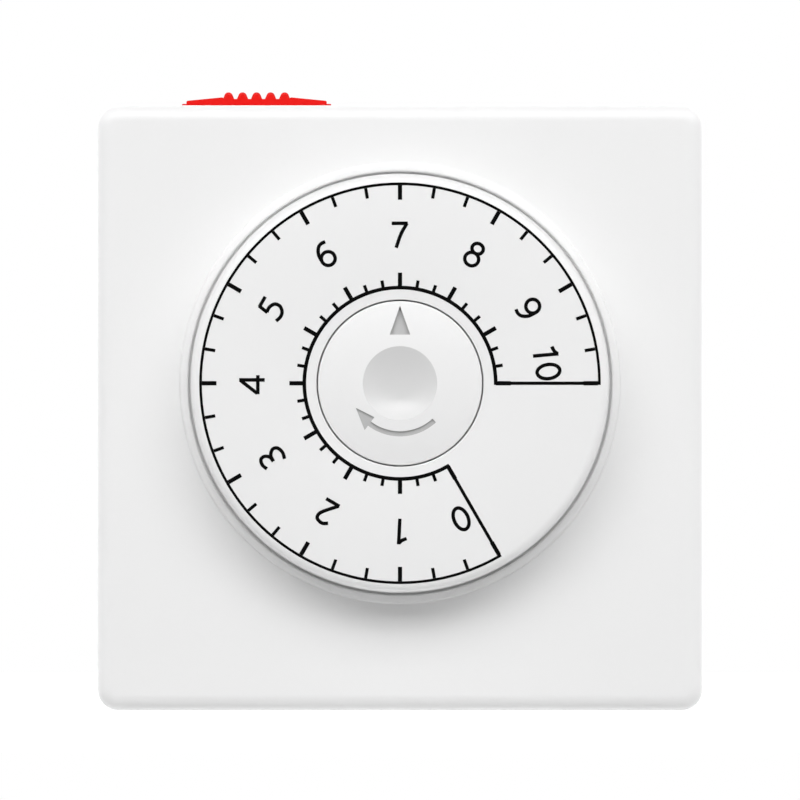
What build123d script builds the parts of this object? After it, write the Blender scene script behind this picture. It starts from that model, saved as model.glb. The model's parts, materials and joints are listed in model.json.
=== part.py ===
from build123d import *
import math
import os

# Countdown timer socket: a plug-in case with a big turning dial, a slide switch on
# the top edge, plug pins on the back and a socket in the bottom edge.
# Millimetres. X is to the right seen from the front, +Y goes into the wall, +Z is up.
# The origin is on the wall face, on the axis of the dial and of the plug pattern.

os.makedirs("parts", exist_ok=True)

# Case
CASE = 86.0                 # width and height of the face
CASE_MID_Z = -3.5           # the dial sits this much above the middle of the face
CORNER = 3.0                # plan radius of the corners
FACE_Y = -40.0              # front face of the case
SPLIT_Y = -17.0             # where the two halves meet
WALL = 2.0                  # side and front walls
BACK_WALL = 2.5
FRONT_ROUND = 2.0           # rounding of the front edge
BACK_ROUND = 1.0
INNER_Y = FACE_Y + WALL     # inside of the front wall
TOP_Z = CASE_MID_Z + CASE / 2
BOTTOM_Z = CASE_MID_Z - CASE / 2
LIP = 1.0                   # thickness of the rear half's locating lip
LIP_REACH = 2.0
FIT = 0.1                   # gap of a loose fit

# Case screws, driven from the back into bosses of the front half
SCREW_X = 35.0
SCREW_POINTS = [(x, CASE_MID_Z + z) for x in (-SCREW_X, SCREW_X) for z in (-35.0, 35.0)]
BOSS_R = 3.4
SCREW_CORE_R = 1.3
SCREW_CLEAR_R = 1.8
SCREW_HEAD_R = 2.9
SCREW_SEAT_Y = -12.0
SCREW_HEAD_H = 2.2
SCREW_TIP_Y = -28.0
RIB_T = 1.4                 # ribs between a boss and the walls
RIB_LEN = 5.0
RIB_MID = 4.0               # middle of a rib from the middle of its boss
TUBE_WALL = 0.8             # the rear half's screw tubes are this much larger than the bosses
RECESS_W = 0.8              # width of a cross recess

# Dial, which turns on the stem and carries cam and gear ring behind the case front
DIAL_R = 29.8
DIAL_Y = -47.0
DIAL_ROUND = 1.1
DIAL_SKIN = 2.0
DIAL_RIM = 2.0
DIAL_GAP = 0.3              # between dial and case
DIAL_DRAFT = 0.35           # the rim widens by this much towards the case
COLLAR_IN = 30.1
COLLAR_OUT = 31.3
COLLAR_H = 0.8
DIAL_HOLE_R = 21.5          # opening in the case behind the dial
DIAL_TUBE_R = 9.0
STEM_R = 5.0
RUN = 0.05                  # radial clearance of a running fit
KEY = 2.0                   # keys between dial tube and gear ring

# Fixed hub
HUB_R = 11.65
HUB_GAP = 0.2
HUB_DISH_R = 5.5
HUB_DISH_DEPTH = 1.3
HUB_CROWN = 0.9
HUB_BACK_Y = -44.6
HUB_FLOOR_Y = -44.2         # floor of the dial's recess
HUB_FLOOR_T = 1.6
MARK_DEPTH = 0.4            # sunk triangle and arrow
TRIANGLE_HALF = 1.45
TRIANGLE_Z = (6.9, 10.6)
ARROW_R = 7.18
ARROW_HALF = 0.36
ARROW_HEAD_HALF = 1.15
ARROW_CLOCK = (137.5, 217.0, 241.0)     # tail, root of the head and tip, clockwise from the top
HUB_SCREW_R = 1.5
HUB_SCREW_CORE_R = 1.2
HUB_SCREW_BITE = 1.3        # how far the screw goes into the cap
WASHER_T = 0.3
STEM_FLANGE_R = 7.5
STEM_FLANGE_T = 1.6
STEM_RIVET_R = 3.5          # spigot of the stem through the chassis plate

# Gear train, all toothed wheels with a 20 degree pressure angle
PRESSURE = math.radians(20)
RING_TEETH = 40
RING_MODULE = 0.9
PINION_TEETH = 10
WHEEL_TEETH = 30
WHEEL_MODULE = 0.8
MOTOR_TEETH = 10
CENTRE_SLACK = 0.12         # centres stand this much further apart than the pitch circles
BACKLASH = 0.16
ADDENDUM = 0.8
DEDENDUM = 1.1
CAM_R = 20.5
CAM_OFF_R = 18.0
CAM_Y = (-37.6, -35.4)
RING_Y = (-35.4, -32.6)
WHEEL_Y = (-32.2, -30.4)
ARBOR_ANGLE = 50.0
ARBOR_R = 1.0
MOTOR_ANGLE = -21.0

# Chassis and motor
CHASSIS_Y = (-29.8, -28.3)
CHASSIS_BOSSES = [(32.0, 22.5), (31.0, -16.0), (-26.0, -10.0)]
CHASSIS_BOSS_R = 2.7
CHASSIS_SCREW_R = 1.0
CHASSIS_CORNERS = [(-30.5, -5.5), (-8.0, 14.5), (10.0, 31.0), (36.5, 27.0), (36.5, -20.5), (-30.5, -14.5)]
MOTOR_R = 15.0
MOTOR_MID = (22.0, 5.0)
MOTOR_LEN = 12.0
MOTOR_LUG_ANGLE = 120.0
MOTOR_LUG_OUT = 18.5
MOTOR_LUG_W = 5.2
MOTOR_SCREW_R = 1.1
END_PLATE_T = 1.0
PAWL_RING_R = 7.2
PAWL_TEETH = 12

# Switch
FOLLOWER_CLOCK = -10.0      # where the follower's nose stands, clockwise from the top
LEVER_PIVOT = (-20.0, 23.5)
LEVER_T = 1.6
LEVER_Y = (-36.7, -32.9)
LEVER_LIFT = 3.2            # degrees that the override lifts the follower
NOSE_R = 0.9
TAIL_X = -26.0
TAIL_TOP = 26.05
CONTACT_X = -11.0
LEAF_Z = 24.4
FIXED_Z = 27.0
STRIP_T = 0.4
STRIP_LEN = 26.0
STRIP_Y = (-36.2, -33.8)
RIVET_R = 1.1
RIVET_H = 0.9
RIVET_GAP = 0.05            # between the two contact rivets at rest
BASE_X = (-23.0, 10.0)
BASE_Z = (22.0, 34.3)
BASE_FLOOR_T = 1.0
BASE_BACK = (-32.7, -31.7)
BASE_WALL = 1.5
BASE_BRIDGE = 12.0          # width of the base's back plate
BASE_CLAMP = 7.0            # width of the block that holds the strips
EYE_R = 2.6                 # eyes of the base round the follower's pin
BUMP_X = -9.0               # where the follower touches the leaf
BUMP_R = 0.8
TAIL_R = 1.0

# Override slider on the top edge
SLIDE_TRAVEL = 4.5
SLIDER_X = -20.45
SLIDER_FLANGE = 21.3
SLIDER_LEN = 20.0
SLIDER_Y = (-24.5, -15.3)
SLIDER_NECK = (-24.7, -16.7)
SLIDER_NECK_Y = (-22.5, -17.2)
RIDGE_PITCH = 2.0
RIDGE_TOP = 2.0
RIDGE_VALLEY = 0.9
RIDGE_R = 0.62
RIDGES = 5
SLIDER_END = 0.64           # height of the slider's ends
SLIDER_SHOULDER = 1.35      # height beside the ridges
SLIDER_LIFT = 0.05          # gap between slider and case
CARRIER_Y = (-36.5, -17.4)
CARRIER_Z = (35.3, 37.3)
FOOT_Y = (-36.5, -33.1)

# Plug and outlet: flat-blade pattern, line and neutral tangential, earth radial
BLADE_W = 6.4
BLADE_T = 1.6
BLADE_SPREAD = 7.92         # radius of line and neutral
EARTH_OUT = 10.31           # radius of earth
BLADE_LEN = 18.0
EARTH_LEN = 21.0
OUTLET_MID_Y = -18.0
OUTLET_W = 30.0
OUTLET_D = 26.0
SHUTTER_TRAVEL = 3.0
FLANGE_Z = (BOTTOM_Z + WALL, BOTTOM_Z + WALL + 1.9)
SHUTTER_Z = (FLANGE_Z[1] + FIT, FLANGE_Z[1] + 1.7)
SHUTTER_X = (-13.0, 9.6)
SHUTTER_D = (-10.5, 8.5)    # local y of the outlet's plane, towards the front
SPRING_NOTCH_X = 1.0
SPRING_NOTCH_D = (-5.4, -0.6)
SPRING_FOLDS = 6
RECESS_X = 13.1             # ends of the shutter's recess
BLOCK_TOP = -24.0
BLOCK_W = 29.0
BLOCK_D = (-15.2, 12.5)     # local y
BLOCK_ROOF = 2.5
CLIP_TOP = -27.2
CLIP_W = 6.0
LEAF_T = 0.5                # leaves of the outlet's clips
LEAF_LEN = 12.3
CLIP_TAB_W = 4.0
CLIP_TAB_T = 0.8
TAB_TOP = -20.0
SHOULDER_Y = -4.5           # front of the pins' shoulders
TAB_Y = -12.0               # ends of the pins' tabs
TAB_W = 5.0                 # tabs of the pins inside the case
CLAMP_T = 2.5
CLAMP_SCREWS = [(-16.0, 3.0), (16.0, 3.0)]
CLAMP_SCREW_R = 1.0
CLAMP_SCREW_TIP_Y = -1.6
WIRE_R = 0.8
THIN_WIRE_R = 0.45

# Pegs of the front cover that hold the switch base, with melted heads
BASE_PEGS = [(-17.0, 30.5), (-4.0, 30.5)]
PEG_R = 1.2
PEG_HEAD_R = 1.9
PEG_HEAD_H = 0.7


def front(y):
    """Plane parallel to the face at depth y: sketches use world X and Z, extrudes come forward."""
    return Plane((0, y, 0), x_dir=(1, 0, 0), z_dir=(0, -1, 0))


def below(z):
    """Plane parallel to the bottom edge at height z: local y points to the front, extrudes go down."""
    return Plane((0, OUTLET_MID_Y, z), x_dir=(1, 0, 0), z_dir=(0, 0, -1))


def span(pair):
    """Distance between two depths."""
    return abs(pair[1] - pair[0])


def polar(radius, angle):
    """Point at an angle in degrees, counter-clockwise from +X seen from the front."""
    turn = math.radians(angle)
    return (radius * math.cos(turn), radius * math.sin(turn))


def finish(builder, label):
    """Name the finished piece and write it."""
    builder.part.label = label
    export_step(builder.part, f"parts/{label}.step")


def involute(angle):
    """Involute function of a pressure angle."""
    return math.tan(angle) - angle


def gear_outline(teeth, module, first_tooth):
    """Corner points of a gear with one tooth centred at first_tooth degrees."""
    pitch = teeth * module / 2
    base = pitch * math.cos(PRESSURE)
    tip = pitch + ADDENDUM * module
    root = pitch - DEDENDUM * module
    half_pitch_tooth = (module * math.pi / 2 - BACKLASH) / (2 * pitch)
    radii = [root, (max(root, base) + tip) / 2, tip]
    points = []
    for tooth in range(teeth):
        middle = math.radians(first_tooth) + 2 * math.pi * tooth / teeth
        for side, row in ((-1, radii), (1, radii[::-1])):
            for radius in row:
                flank = math.acos(min(1.0, base / max(radius, base)))
                half = half_pitch_tooth + involute(PRESSURE) - involute(flank)
                angle = middle + side * half
                points.append((radius * math.cos(angle), radius * math.sin(angle)))
    return points


# Places that follow from the gear train
ring_pitch = RING_TEETH * RING_MODULE / 2
pinion_pitch = PINION_TEETH * RING_MODULE / 2
wheel_pitch = WHEEL_TEETH * WHEEL_MODULE / 2
motor_pitch = MOTOR_TEETH * WHEEL_MODULE / 2
arbor_x, arbor_z = polar(ring_pitch + pinion_pitch + CENTRE_SLACK, ARBOR_ANGLE)
step_x, step_z = polar(wheel_pitch + motor_pitch + CENTRE_SLACK, MOTOR_ANGLE)
output_x, output_z = arbor_x + step_x, arbor_z + step_z

# Pattern of the plug seen from the front, line on the right, earth on top
line_at = (BLADE_SPREAD * math.cos(math.radians(-30)), BLADE_SPREAD * math.sin(math.radians(-30)))
blade_pattern = {
    "line": (line_at, 60.0, BLADE_LEN),
    "neutral": ((-line_at[0], line_at[1]), 120.0, BLADE_LEN),
    "earth": ((0.0, EARTH_OUT), 90.0, EARTH_LEN),
}

# Front cover
slot_x = (SLIDER_NECK[0] - 0.05, SLIDER_NECK[1] + SLIDE_TRAVEL + 0.1)
slot_y = (SLIDER_NECK_Y[0] - FIT, SPLIT_Y)
outlet_y = (OUTLET_MID_Y - OUTLET_D / 2, OUTLET_MID_Y + OUTLET_D / 2)
with BuildPart() as front_cover:
    with BuildSketch(front(SPLIT_Y)):
        with Locations((0, CASE_MID_Z)):
            RectangleRounded(CASE, CASE, CORNER)
    extrude(amount=SPLIT_Y - FACE_Y)
    fillet(front_cover.faces().sort_by(Axis.Y)[0].edges(), FRONT_ROUND)
    with BuildSketch(front(SPLIT_Y)):
        with Locations((0, CASE_MID_Z)):
            RectangleRounded(CASE - 2 * WALL, CASE - 2 * WALL, CORNER - WALL / 2)
    extrude(amount=SPLIT_Y - INNER_Y, mode=Mode.SUBTRACT)
    with BuildSketch(front(FACE_Y)):
        Circle(COLLAR_OUT)
        Circle(COLLAR_IN, mode=Mode.SUBTRACT)
    extrude(amount=COLLAR_H)
    chamfer(front_cover.faces().sort_by(Axis.Y)[0].edges(), COLLAR_H / 3)
    with BuildSketch(front(SPLIT_Y)):
        with Locations(*SCREW_POINTS):
            Circle(BOSS_R)
    extrude(amount=SPLIT_Y - INNER_Y)
    rib_top = SPLIT_Y - LIP_REACH - 1.0
    with BuildSketch(front(rib_top)):
        for x, z in SCREW_POINTS:
            side = math.copysign(1, x)
            end = math.copysign(1, z - CASE_MID_Z)
            with Locations((side * (SCREW_X + RIB_MID), z)):
                Rectangle(RIB_LEN, RIB_T)
            with Locations((x, z + end * RIB_MID)):
                Rectangle(RIB_T, RIB_LEN)
    extrude(amount=rib_top - INNER_Y)
    with BuildSketch(front(CHASSIS_Y[0])):
        with Locations(*CHASSIS_BOSSES):
            Circle(CHASSIS_BOSS_R)
    extrude(amount=CHASSIS_Y[0] - INNER_Y)
    with BuildSketch(front(INNER_Y + BASE_FLOOR_T)):
        with Locations(*BASE_PEGS):
            Circle(PEG_R)
    extrude(amount=BASE_FLOOR_T)
    with BuildSketch(front(INNER_Y + BASE_FLOOR_T + PEG_HEAD_H)):
        with Locations(*BASE_PEGS):
            Circle(PEG_HEAD_R)
    extrude(amount=PEG_HEAD_H)
    with BuildSketch(front(SPLIT_Y)):
        with Locations(*SCREW_POINTS):
            Circle(SCREW_CORE_R)
    extrude(amount=SPLIT_Y - SCREW_TIP_Y, mode=Mode.SUBTRACT)
    with BuildSketch(front(CHASSIS_Y[0])):
        with Locations(*CHASSIS_BOSSES):
            Circle(CHASSIS_SCREW_R)
    extrude(amount=CHASSIS_Y[0] - INNER_Y - WALL, mode=Mode.SUBTRACT)
    with BuildSketch(front(INNER_Y)):
        Circle(DIAL_HOLE_R)
    extrude(amount=WALL, mode=Mode.SUBTRACT)
    with BuildSketch(front(SPLIT_Y)):
        with Locations(((slot_x[0] + slot_x[1]) / 2, TOP_Z - WALL / 2)):
            Rectangle(slot_x[1] - slot_x[0], WALL * 2)
    extrude(amount=span(slot_y), mode=Mode.SUBTRACT)
    with BuildSketch(front(SPLIT_Y)):
        with Locations((0, BOTTOM_Z)):
            Rectangle(OUTLET_W + FIT, WALL * 2 + FIT)
    extrude(amount=SPLIT_Y - outlet_y[0] + FIT / 2, mode=Mode.SUBTRACT)
finish(front_cover, "front_cover")

# Rear cover, with its locating lip, screw tubes and the holes of the plug pins
lip_out = CASE - 2 * WALL - 2 * FIT
with BuildPart() as rear_cover:
    with BuildSketch(front(0)):
        with Locations((0, CASE_MID_Z)):
            RectangleRounded(CASE, CASE, CORNER)
    extrude(amount=-SPLIT_Y)
    fillet(rear_cover.faces().sort_by(Axis.Y)[-1].edges(), BACK_ROUND)
    with BuildSketch(front(-BACK_WALL)):
        with Locations((0, CASE_MID_Z)):
            RectangleRounded(CASE - 2 * WALL, CASE - 2 * WALL, CORNER - WALL / 2)
    extrude(amount=-SPLIT_Y - BACK_WALL, mode=Mode.SUBTRACT)
    with BuildSketch(front(SPLIT_Y + LIP_REACH)):
        with Locations((0, CASE_MID_Z)):
            RectangleRounded(CASE - 2 * WALL, CASE - 2 * WALL, CORNER - WALL / 2)
            RectangleRounded(lip_out - 2 * LIP, lip_out - 2 * LIP, 1.0, mode=Mode.SUBTRACT)
    extrude(amount=LIP_REACH)
    with BuildSketch(front(SPLIT_Y)):
        with Locations((0, CASE_MID_Z)):
            RectangleRounded(lip_out, lip_out, CORNER - WALL / 2)
            RectangleRounded(lip_out - 2 * LIP, lip_out - 2 * LIP, 1.0, mode=Mode.SUBTRACT)
    extrude(amount=LIP_REACH)
    with BuildSketch(front(SPLIT_Y + LIP_REACH)):
        with Locations((SLIDER_X, TOP_Z - WALL - 1.5 * LIP)):
            Rectangle(SLIDER_LEN + 2 * SLIDE_TRAVEL, 3 * LIP)
        with Locations((0, BOTTOM_Z + WALL + 1.5 * LIP)):
            Rectangle(OUTLET_W + 6.0, 3 * LIP)
    extrude(amount=2 * LIP_REACH, mode=Mode.SUBTRACT)
    with BuildSketch(front(-BACK_WALL)):
        with Locations(*SCREW_POINTS):
            Circle(BOSS_R + TUBE_WALL)
    extrude(amount=-SPLIT_Y - BACK_WALL)
    with BuildSketch(front(0)):
        with Locations(*SCREW_POINTS):
            Circle(SCREW_CLEAR_R)
    extrude(amount=-SPLIT_Y, mode=Mode.SUBTRACT)
    with BuildSketch(front(0)):
        with Locations(*SCREW_POINTS):
            Circle(SCREW_HEAD_R + FIT)
    extrude(amount=-SCREW_SEAT_Y, mode=Mode.SUBTRACT)
    with BuildSketch(front(-BACK_WALL)):
        with Locations(*CLAMP_SCREWS):
            Circle(3 * CLAMP_SCREW_R)
        with Locations((-15.8, BOTTOM_Z + 22.0), (15.8, BOTTOM_Z + 22.0)):
            Rectangle(2.0, 6.0)
    extrude(amount=-BACK_WALL - SHOULDER_Y)
    with BuildSketch(front(SHOULDER_Y)):
        with Locations(*CLAMP_SCREWS):
            Circle(CLAMP_SCREW_R)
    extrude(amount=SHOULDER_Y - CLAMP_SCREW_TIP_Y, mode=Mode.SUBTRACT)
    with BuildSketch(front(0)):
        for (x, z), turn, length in blade_pattern.values():
            with Locations(Location((x, z, 0), (0, 0, turn))):
                Rectangle(BLADE_W + 2 * FIT, BLADE_T + 2 * FIT)
    extrude(amount=BACK_WALL, mode=Mode.SUBTRACT)
    with BuildSketch(front(outlet_y[1] + FIT / 2)):
        with Locations((0, BOTTOM_Z)):
            Rectangle(OUTLET_W + FIT, WALL * 2 + FIT)
    extrude(amount=outlet_y[1] - SPLIT_Y + FIT / 2, mode=Mode.SUBTRACT)
finish(rear_cover, "rear_cover")

# Case screws: pan head, plain shank in place of the thread
with BuildPart() as cover_screws:
    with BuildSketch(front(SCREW_SEAT_Y + SCREW_HEAD_H)):
        with Locations(*SCREW_POINTS):
            Circle(SCREW_HEAD_R)
    extrude(amount=SCREW_HEAD_H)
    chamfer(cover_screws.faces().group_by(Axis.Y)[-1].edges(), 0.6)
    with BuildSketch(front(SCREW_SEAT_Y + SCREW_HEAD_H)):
        with Locations(*SCREW_POINTS):
            Rectangle(3.4, RECESS_W)
            Rectangle(RECESS_W, 3.4)
    extrude(amount=1.2, mode=Mode.SUBTRACT)
    with BuildSketch(front(SCREW_SEAT_Y)):
        with Locations(*SCREW_POINTS):
            Circle(SCREW_CORE_R)
    extrude(amount=SCREW_SEAT_Y - SCREW_TIP_Y - 1.0)
finish(cover_screws, "cover_screws")

# Dial: shallow cup with a recess for the hub and a tube down to the gear ring
rim_y = FACE_Y - DIAL_GAP
face_in_y = DIAL_Y + DIAL_SKIN
recess_r = HUB_R + HUB_GAP
bore_r = STEM_R + RUN
tube_end_y = RING_Y[1]
with BuildPart() as timer_dial:
    with BuildSketch(Plane.XY):
        with BuildLine():
            Polyline(
                (recess_r, DIAL_Y),
                (DIAL_R - DIAL_DRAFT, DIAL_Y),
                (DIAL_R, rim_y),
                (DIAL_R - DIAL_RIM, rim_y),
                (DIAL_R - DIAL_DRAFT - DIAL_RIM, face_in_y),
                (recess_r + DIAL_SKIN, face_in_y),
                (recess_r + DIAL_SKIN, HUB_FLOOR_Y + HUB_FLOOR_T),
                (DIAL_TUBE_R, HUB_FLOOR_Y + HUB_FLOOR_T),
                (DIAL_TUBE_R, tube_end_y),
                (bore_r, tube_end_y),
                (bore_r, HUB_FLOOR_Y),
                (recess_r, HUB_FLOOR_Y),
                close=True,
            )
        make_face()
        fillet(vertices().filter_by(lambda v: v.X > DIAL_R - 1 and v.Y < DIAL_Y + 1), DIAL_ROUND)
    revolve(axis=Axis.Y)
    with BuildSketch(front(RING_Y[1])):
        with Locations((DIAL_TUBE_R, 0), (-DIAL_TUBE_R, 0)):
            Rectangle(KEY, KEY)
    extrude(amount=span((CAM_Y[0], RING_Y[1])))
finish(timer_dial, "timer_dial")

# Gear ring and cam, keyed on the dial's tube; the cam drops away over the off sector
drop_angle = 90.0 - (FOLLOWER_CLOCK + 150.0)
ramp_angle = 90.0 - (FOLLOWER_CLOCK + 90.0)
ramp_span = 14.0
with BuildPart() as dial_gear:
    with BuildSketch(front(RING_Y[1])):
        Polygon(*gear_outline(RING_TEETH, RING_MODULE, ARBOR_ANGLE), align=None)
    extrude(amount=span(RING_Y))
    with BuildSketch(front(CAM_Y[1])):
        with BuildLine():
            high_end = polar(CAM_R, drop_angle)
            low_start = polar(CAM_OFF_R, drop_angle)
            low_end = polar(CAM_OFF_R, ramp_angle - ramp_span)
            high_start = polar(CAM_R, ramp_angle)
            ThreePointArc(high_start, polar(CAM_R, (ramp_angle + drop_angle) / 2 + 180), high_end)
            Line(high_end, low_start)
            ThreePointArc(low_start, polar(CAM_OFF_R, (drop_angle + ramp_angle - ramp_span) / 2), low_end)
            Line(low_end, high_start)
        make_face()
    extrude(amount=span(CAM_Y))
    with BuildSketch(front(RING_Y[1])):
        Circle(DIAL_TUBE_R)
        with Locations((DIAL_TUBE_R, 0), (-DIAL_TUBE_R, 0)):
            Rectangle(KEY, KEY)
    extrude(amount=span((CAM_Y[0], RING_Y[1])), mode=Mode.SUBTRACT)
finish(dial_gear, "dial_gear")

# Spring washer between the hub cap and the floor of the dial's recess
with BuildPart() as dial_washer:
    with BuildSketch(front(HUB_FLOOR_Y - 0.05)):
        Circle(HUB_R - 2.5)
        Circle(STEM_R + 0.3, mode=Mode.SUBTRACT)
    extrude(amount=WASHER_T)
finish(dial_washer, "dial_washer")

# Stem: the post that the dial runs on, riveted through the chassis plate
with BuildPart() as hub_stem:
    with BuildSketch(front(CHASSIS_Y[0])):
        Circle(STEM_FLANGE_R)
    extrude(amount=STEM_FLANGE_T)
    with BuildSketch(front(CHASSIS_Y[0])):
        Circle(STEM_R)
    extrude(amount=CHASSIS_Y[0] - HUB_BACK_Y)
    with BuildSketch(front(CHASSIS_Y[1])):
        Circle(STEM_RIVET_R)
    extrude(amount=span(CHASSIS_Y))
    with BuildSketch(front(CHASSIS_Y[1])):
        Circle(HUB_SCREW_R + FIT)
    extrude(amount=CHASSIS_Y[1] - HUB_BACK_Y, mode=Mode.SUBTRACT)
finish(hub_stem, "hub_stem")

# Outlines of the hub's sunk triangle and clockwise arrow, with floors that follow the crown
crown_y = DIAL_Y - HUB_CROWN
arrow_tail, arrow_root, arrow_tip = [90 - clock for clock in ARROW_CLOCK]
arrow_mid = (arrow_tail + arrow_root) / 2
with BuildPart() as hub_marks:
    with BuildSketch(front(DIAL_Y + 2 * MARK_DEPTH)):
        with BuildLine():
            Polyline(
                (-TRIANGLE_HALF, TRIANGLE_Z[0]), (TRIANGLE_HALF, TRIANGLE_Z[0]), (0, TRIANGLE_Z[1]),
                close=True,
            )
        make_face()
        with BuildLine():
            tail_out = polar(ARROW_R + ARROW_HALF, arrow_tail)
            tail_in = polar(ARROW_R - ARROW_HALF, arrow_tail)
            neck_out = polar(ARROW_R + ARROW_HALF, arrow_root)
            neck_in = polar(ARROW_R - ARROW_HALF, arrow_root)
            ThreePointArc(tail_out, polar(ARROW_R + ARROW_HALF, arrow_mid), neck_out)
            Polyline(
                neck_out, polar(ARROW_R + ARROW_HEAD_HALF, arrow_root), polar(ARROW_R, arrow_tip),
                polar(ARROW_R - ARROW_HEAD_HALF, arrow_root), neck_in,
            )
            ThreePointArc(neck_in, polar(ARROW_R - ARROW_HALF, arrow_mid), tail_in)
            Line(tail_in, tail_out)
        make_face()
    extrude(amount=2 * MARK_DEPTH + 2 * HUB_CROWN)
    with BuildSketch(Plane.XY):
        with BuildLine():
            ThreePointArc(
                (0, crown_y + MARK_DEPTH),
                (HUB_R / 2, crown_y + MARK_DEPTH + HUB_CROWN / 4),
                (HUB_R, DIAL_Y + MARK_DEPTH),
            )
            Polyline(
                (HUB_R, DIAL_Y + MARK_DEPTH), (HUB_R, HUB_BACK_Y), (0, HUB_BACK_Y), (0, crown_y + MARK_DEPTH),
            )
        make_face()
    revolve(axis=Axis.Y, mode=Mode.SUBTRACT)

# Hub cap: crowned face with a round dish for the finger, and the sunk marks
dish_sag = HUB_DISH_DEPTH - HUB_CROWN * (HUB_DISH_R / HUB_R) ** 2
dish_r = (HUB_DISH_R ** 2 + dish_sag ** 2) / (2 * dish_sag)
dish_mid_y = crown_y + HUB_DISH_DEPTH - dish_r
with BuildPart() as dial_hub:
    with BuildSketch(Plane.XY):
        with BuildLine():
            ThreePointArc((0, crown_y), (HUB_R / 2, crown_y + HUB_CROWN / 4), (HUB_R, DIAL_Y))
            Polyline((HUB_R, DIAL_Y), (HUB_R, HUB_BACK_Y), (0, HUB_BACK_Y), (0, crown_y))
        make_face()
    revolve(axis=Axis.Y)
    with BuildSketch(Plane.XY):
        with BuildLine():
            CenterArc((0, dish_mid_y), dish_r, 0, 90)
            Polyline((0, dish_mid_y + dish_r), (0, dish_mid_y), (dish_r, dish_mid_y))
        make_face()
    revolve(axis=Axis.Y, mode=Mode.SUBTRACT)
    add(hub_marks.part, mode=Mode.SUBTRACT)
    with BuildSketch(front(HUB_BACK_Y)):
        Circle(HUB_SCREW_CORE_R)
    extrude(amount=HUB_SCREW_BITE, mode=Mode.SUBTRACT)
finish(dial_hub, "dial_hub")

# Hub screw: comes up through the hollow stem from behind
with BuildPart() as hub_screw:
    with BuildSketch(front(CHASSIS_Y[1] + 1.8)):
        Circle(2.8)
    extrude(amount=1.8)
    chamfer(hub_screw.faces().sort_by(Axis.Y)[-1].edges(), 0.5)
    with BuildSketch(front(CHASSIS_Y[1] + 1.8)):
        Rectangle(3.2, RECESS_W)
        Rectangle(RECESS_W, 3.2)
    extrude(amount=1.0, mode=Mode.SUBTRACT)
    with BuildSketch(front(CHASSIS_Y[1])):
        Circle(HUB_SCREW_CORE_R)
    extrude(amount=CHASSIS_Y[1] - HUB_BACK_Y + HUB_SCREW_BITE - FIT)
finish(hub_screw, "hub_screw")

# Chassis plate: stamped, with holes for stem, arbor, output shaft and screws
with BuildPart() as chassis_plate:
    with BuildSketch(front(CHASSIS_Y[1])):
        with BuildLine():
            FilletPolyline(*CHASSIS_CORNERS, radius=4.0, close=True)
        make_face()
        Circle(STEM_RIVET_R, mode=Mode.SUBTRACT)
        with Locations(*CHASSIS_BOSSES):
            Circle(CHASSIS_SCREW_R + 0.3, mode=Mode.SUBTRACT)
        with Locations((arbor_x, arbor_z)):
            Circle(ARBOR_R, mode=Mode.SUBTRACT)
        with Locations((output_x, output_z)):
            Circle(2.2, mode=Mode.SUBTRACT)
        with Locations((-14.0, -5.5)):
            SlotOverall(12.0, 5.0, rotation=10, mode=Mode.SUBTRACT)
    extrude(amount=span(CHASSIS_Y))
    with BuildSketch(front(CHASSIS_Y[1])):
        with Locations(MOTOR_MID):
            with PolarLocations(MOTOR_LUG_OUT, 2, start_angle=MOTOR_LUG_ANGLE):
                Circle(MOTOR_SCREW_R)
    extrude(amount=span(CHASSIS_Y), mode=Mode.SUBTRACT)
finish(chassis_plate, "chassis_plate")

# Chassis screws, three
with BuildPart() as chassis_screws:
    with BuildSketch(front(CHASSIS_Y[1] + 1.6)):
        with Locations(*CHASSIS_BOSSES):
            Circle(2.4)
    extrude(amount=1.6)
    chamfer(chassis_screws.faces().group_by(Axis.Y)[-1].edges(), 0.4)
    with BuildSketch(front(CHASSIS_Y[1] + 1.6)):
        with Locations(*CHASSIS_BOSSES):
            Rectangle(2.8, 0.7)
            Rectangle(0.7, 2.8)
    extrude(amount=0.9, mode=Mode.SUBTRACT)
    with BuildSketch(front(CHASSIS_Y[1])):
        with Locations(*CHASSIS_BOSSES):
            Circle(CHASSIS_SCREW_R)
    extrude(amount=span(CHASSIS_Y) + 5.0)
finish(chassis_screws, "chassis_screws")

# Arbor of the clutch, riveted in the chassis plate
arbor_front_y = INNER_Y + 0.6
with BuildPart() as idler_arbor:
    with BuildSketch(front(CHASSIS_Y[1])):
        with Locations((arbor_x, arbor_z)):
            Circle(ARBOR_R)
    extrude(amount=CHASSIS_Y[1] - arbor_front_y)
    chamfer(idler_arbor.faces().sort_by(Axis.Y)[0].edges(), 0.3)
finish(idler_arbor, "idler_arbor")

# Clutch wheel: toothed rim, web with windows, saw-tooth ring inside for the pawls
saw = []
for tooth in range(PAWL_TEETH):
    saw.append(polar(PAWL_RING_R - 0.7, 360 * tooth / PAWL_TEETH))
    saw.append(polar(PAWL_RING_R, 360 * tooth / PAWL_TEETH + 2))
with BuildPart() as clutch_wheel:
    with BuildSketch(Plane((arbor_x, WHEEL_Y[1], arbor_z), x_dir=(1, 0, 0), z_dir=(0, -1, 0))):
        Polygon(*gear_outline(WHEEL_TEETH, WHEEL_MODULE, MOTOR_ANGLE), align=None)
        Circle(ARBOR_R + RUN, mode=Mode.SUBTRACT)
        with PolarLocations(8.9, 5):
            Circle(1.3, mode=Mode.SUBTRACT)
    extrude(amount=span(WHEEL_Y))
    with BuildSketch(Plane((arbor_x, WHEEL_Y[0] + 1.2, arbor_z), x_dir=(1, 0, 0), z_dir=(0, -1, 0))):
        Polygon(*saw, align=None)
        Circle(ARBOR_R + 1.4, mode=Mode.SUBTRACT)
    extrude(amount=1.2, mode=Mode.SUBTRACT)
finish(clutch_wheel, "clutch_wheel")

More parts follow.
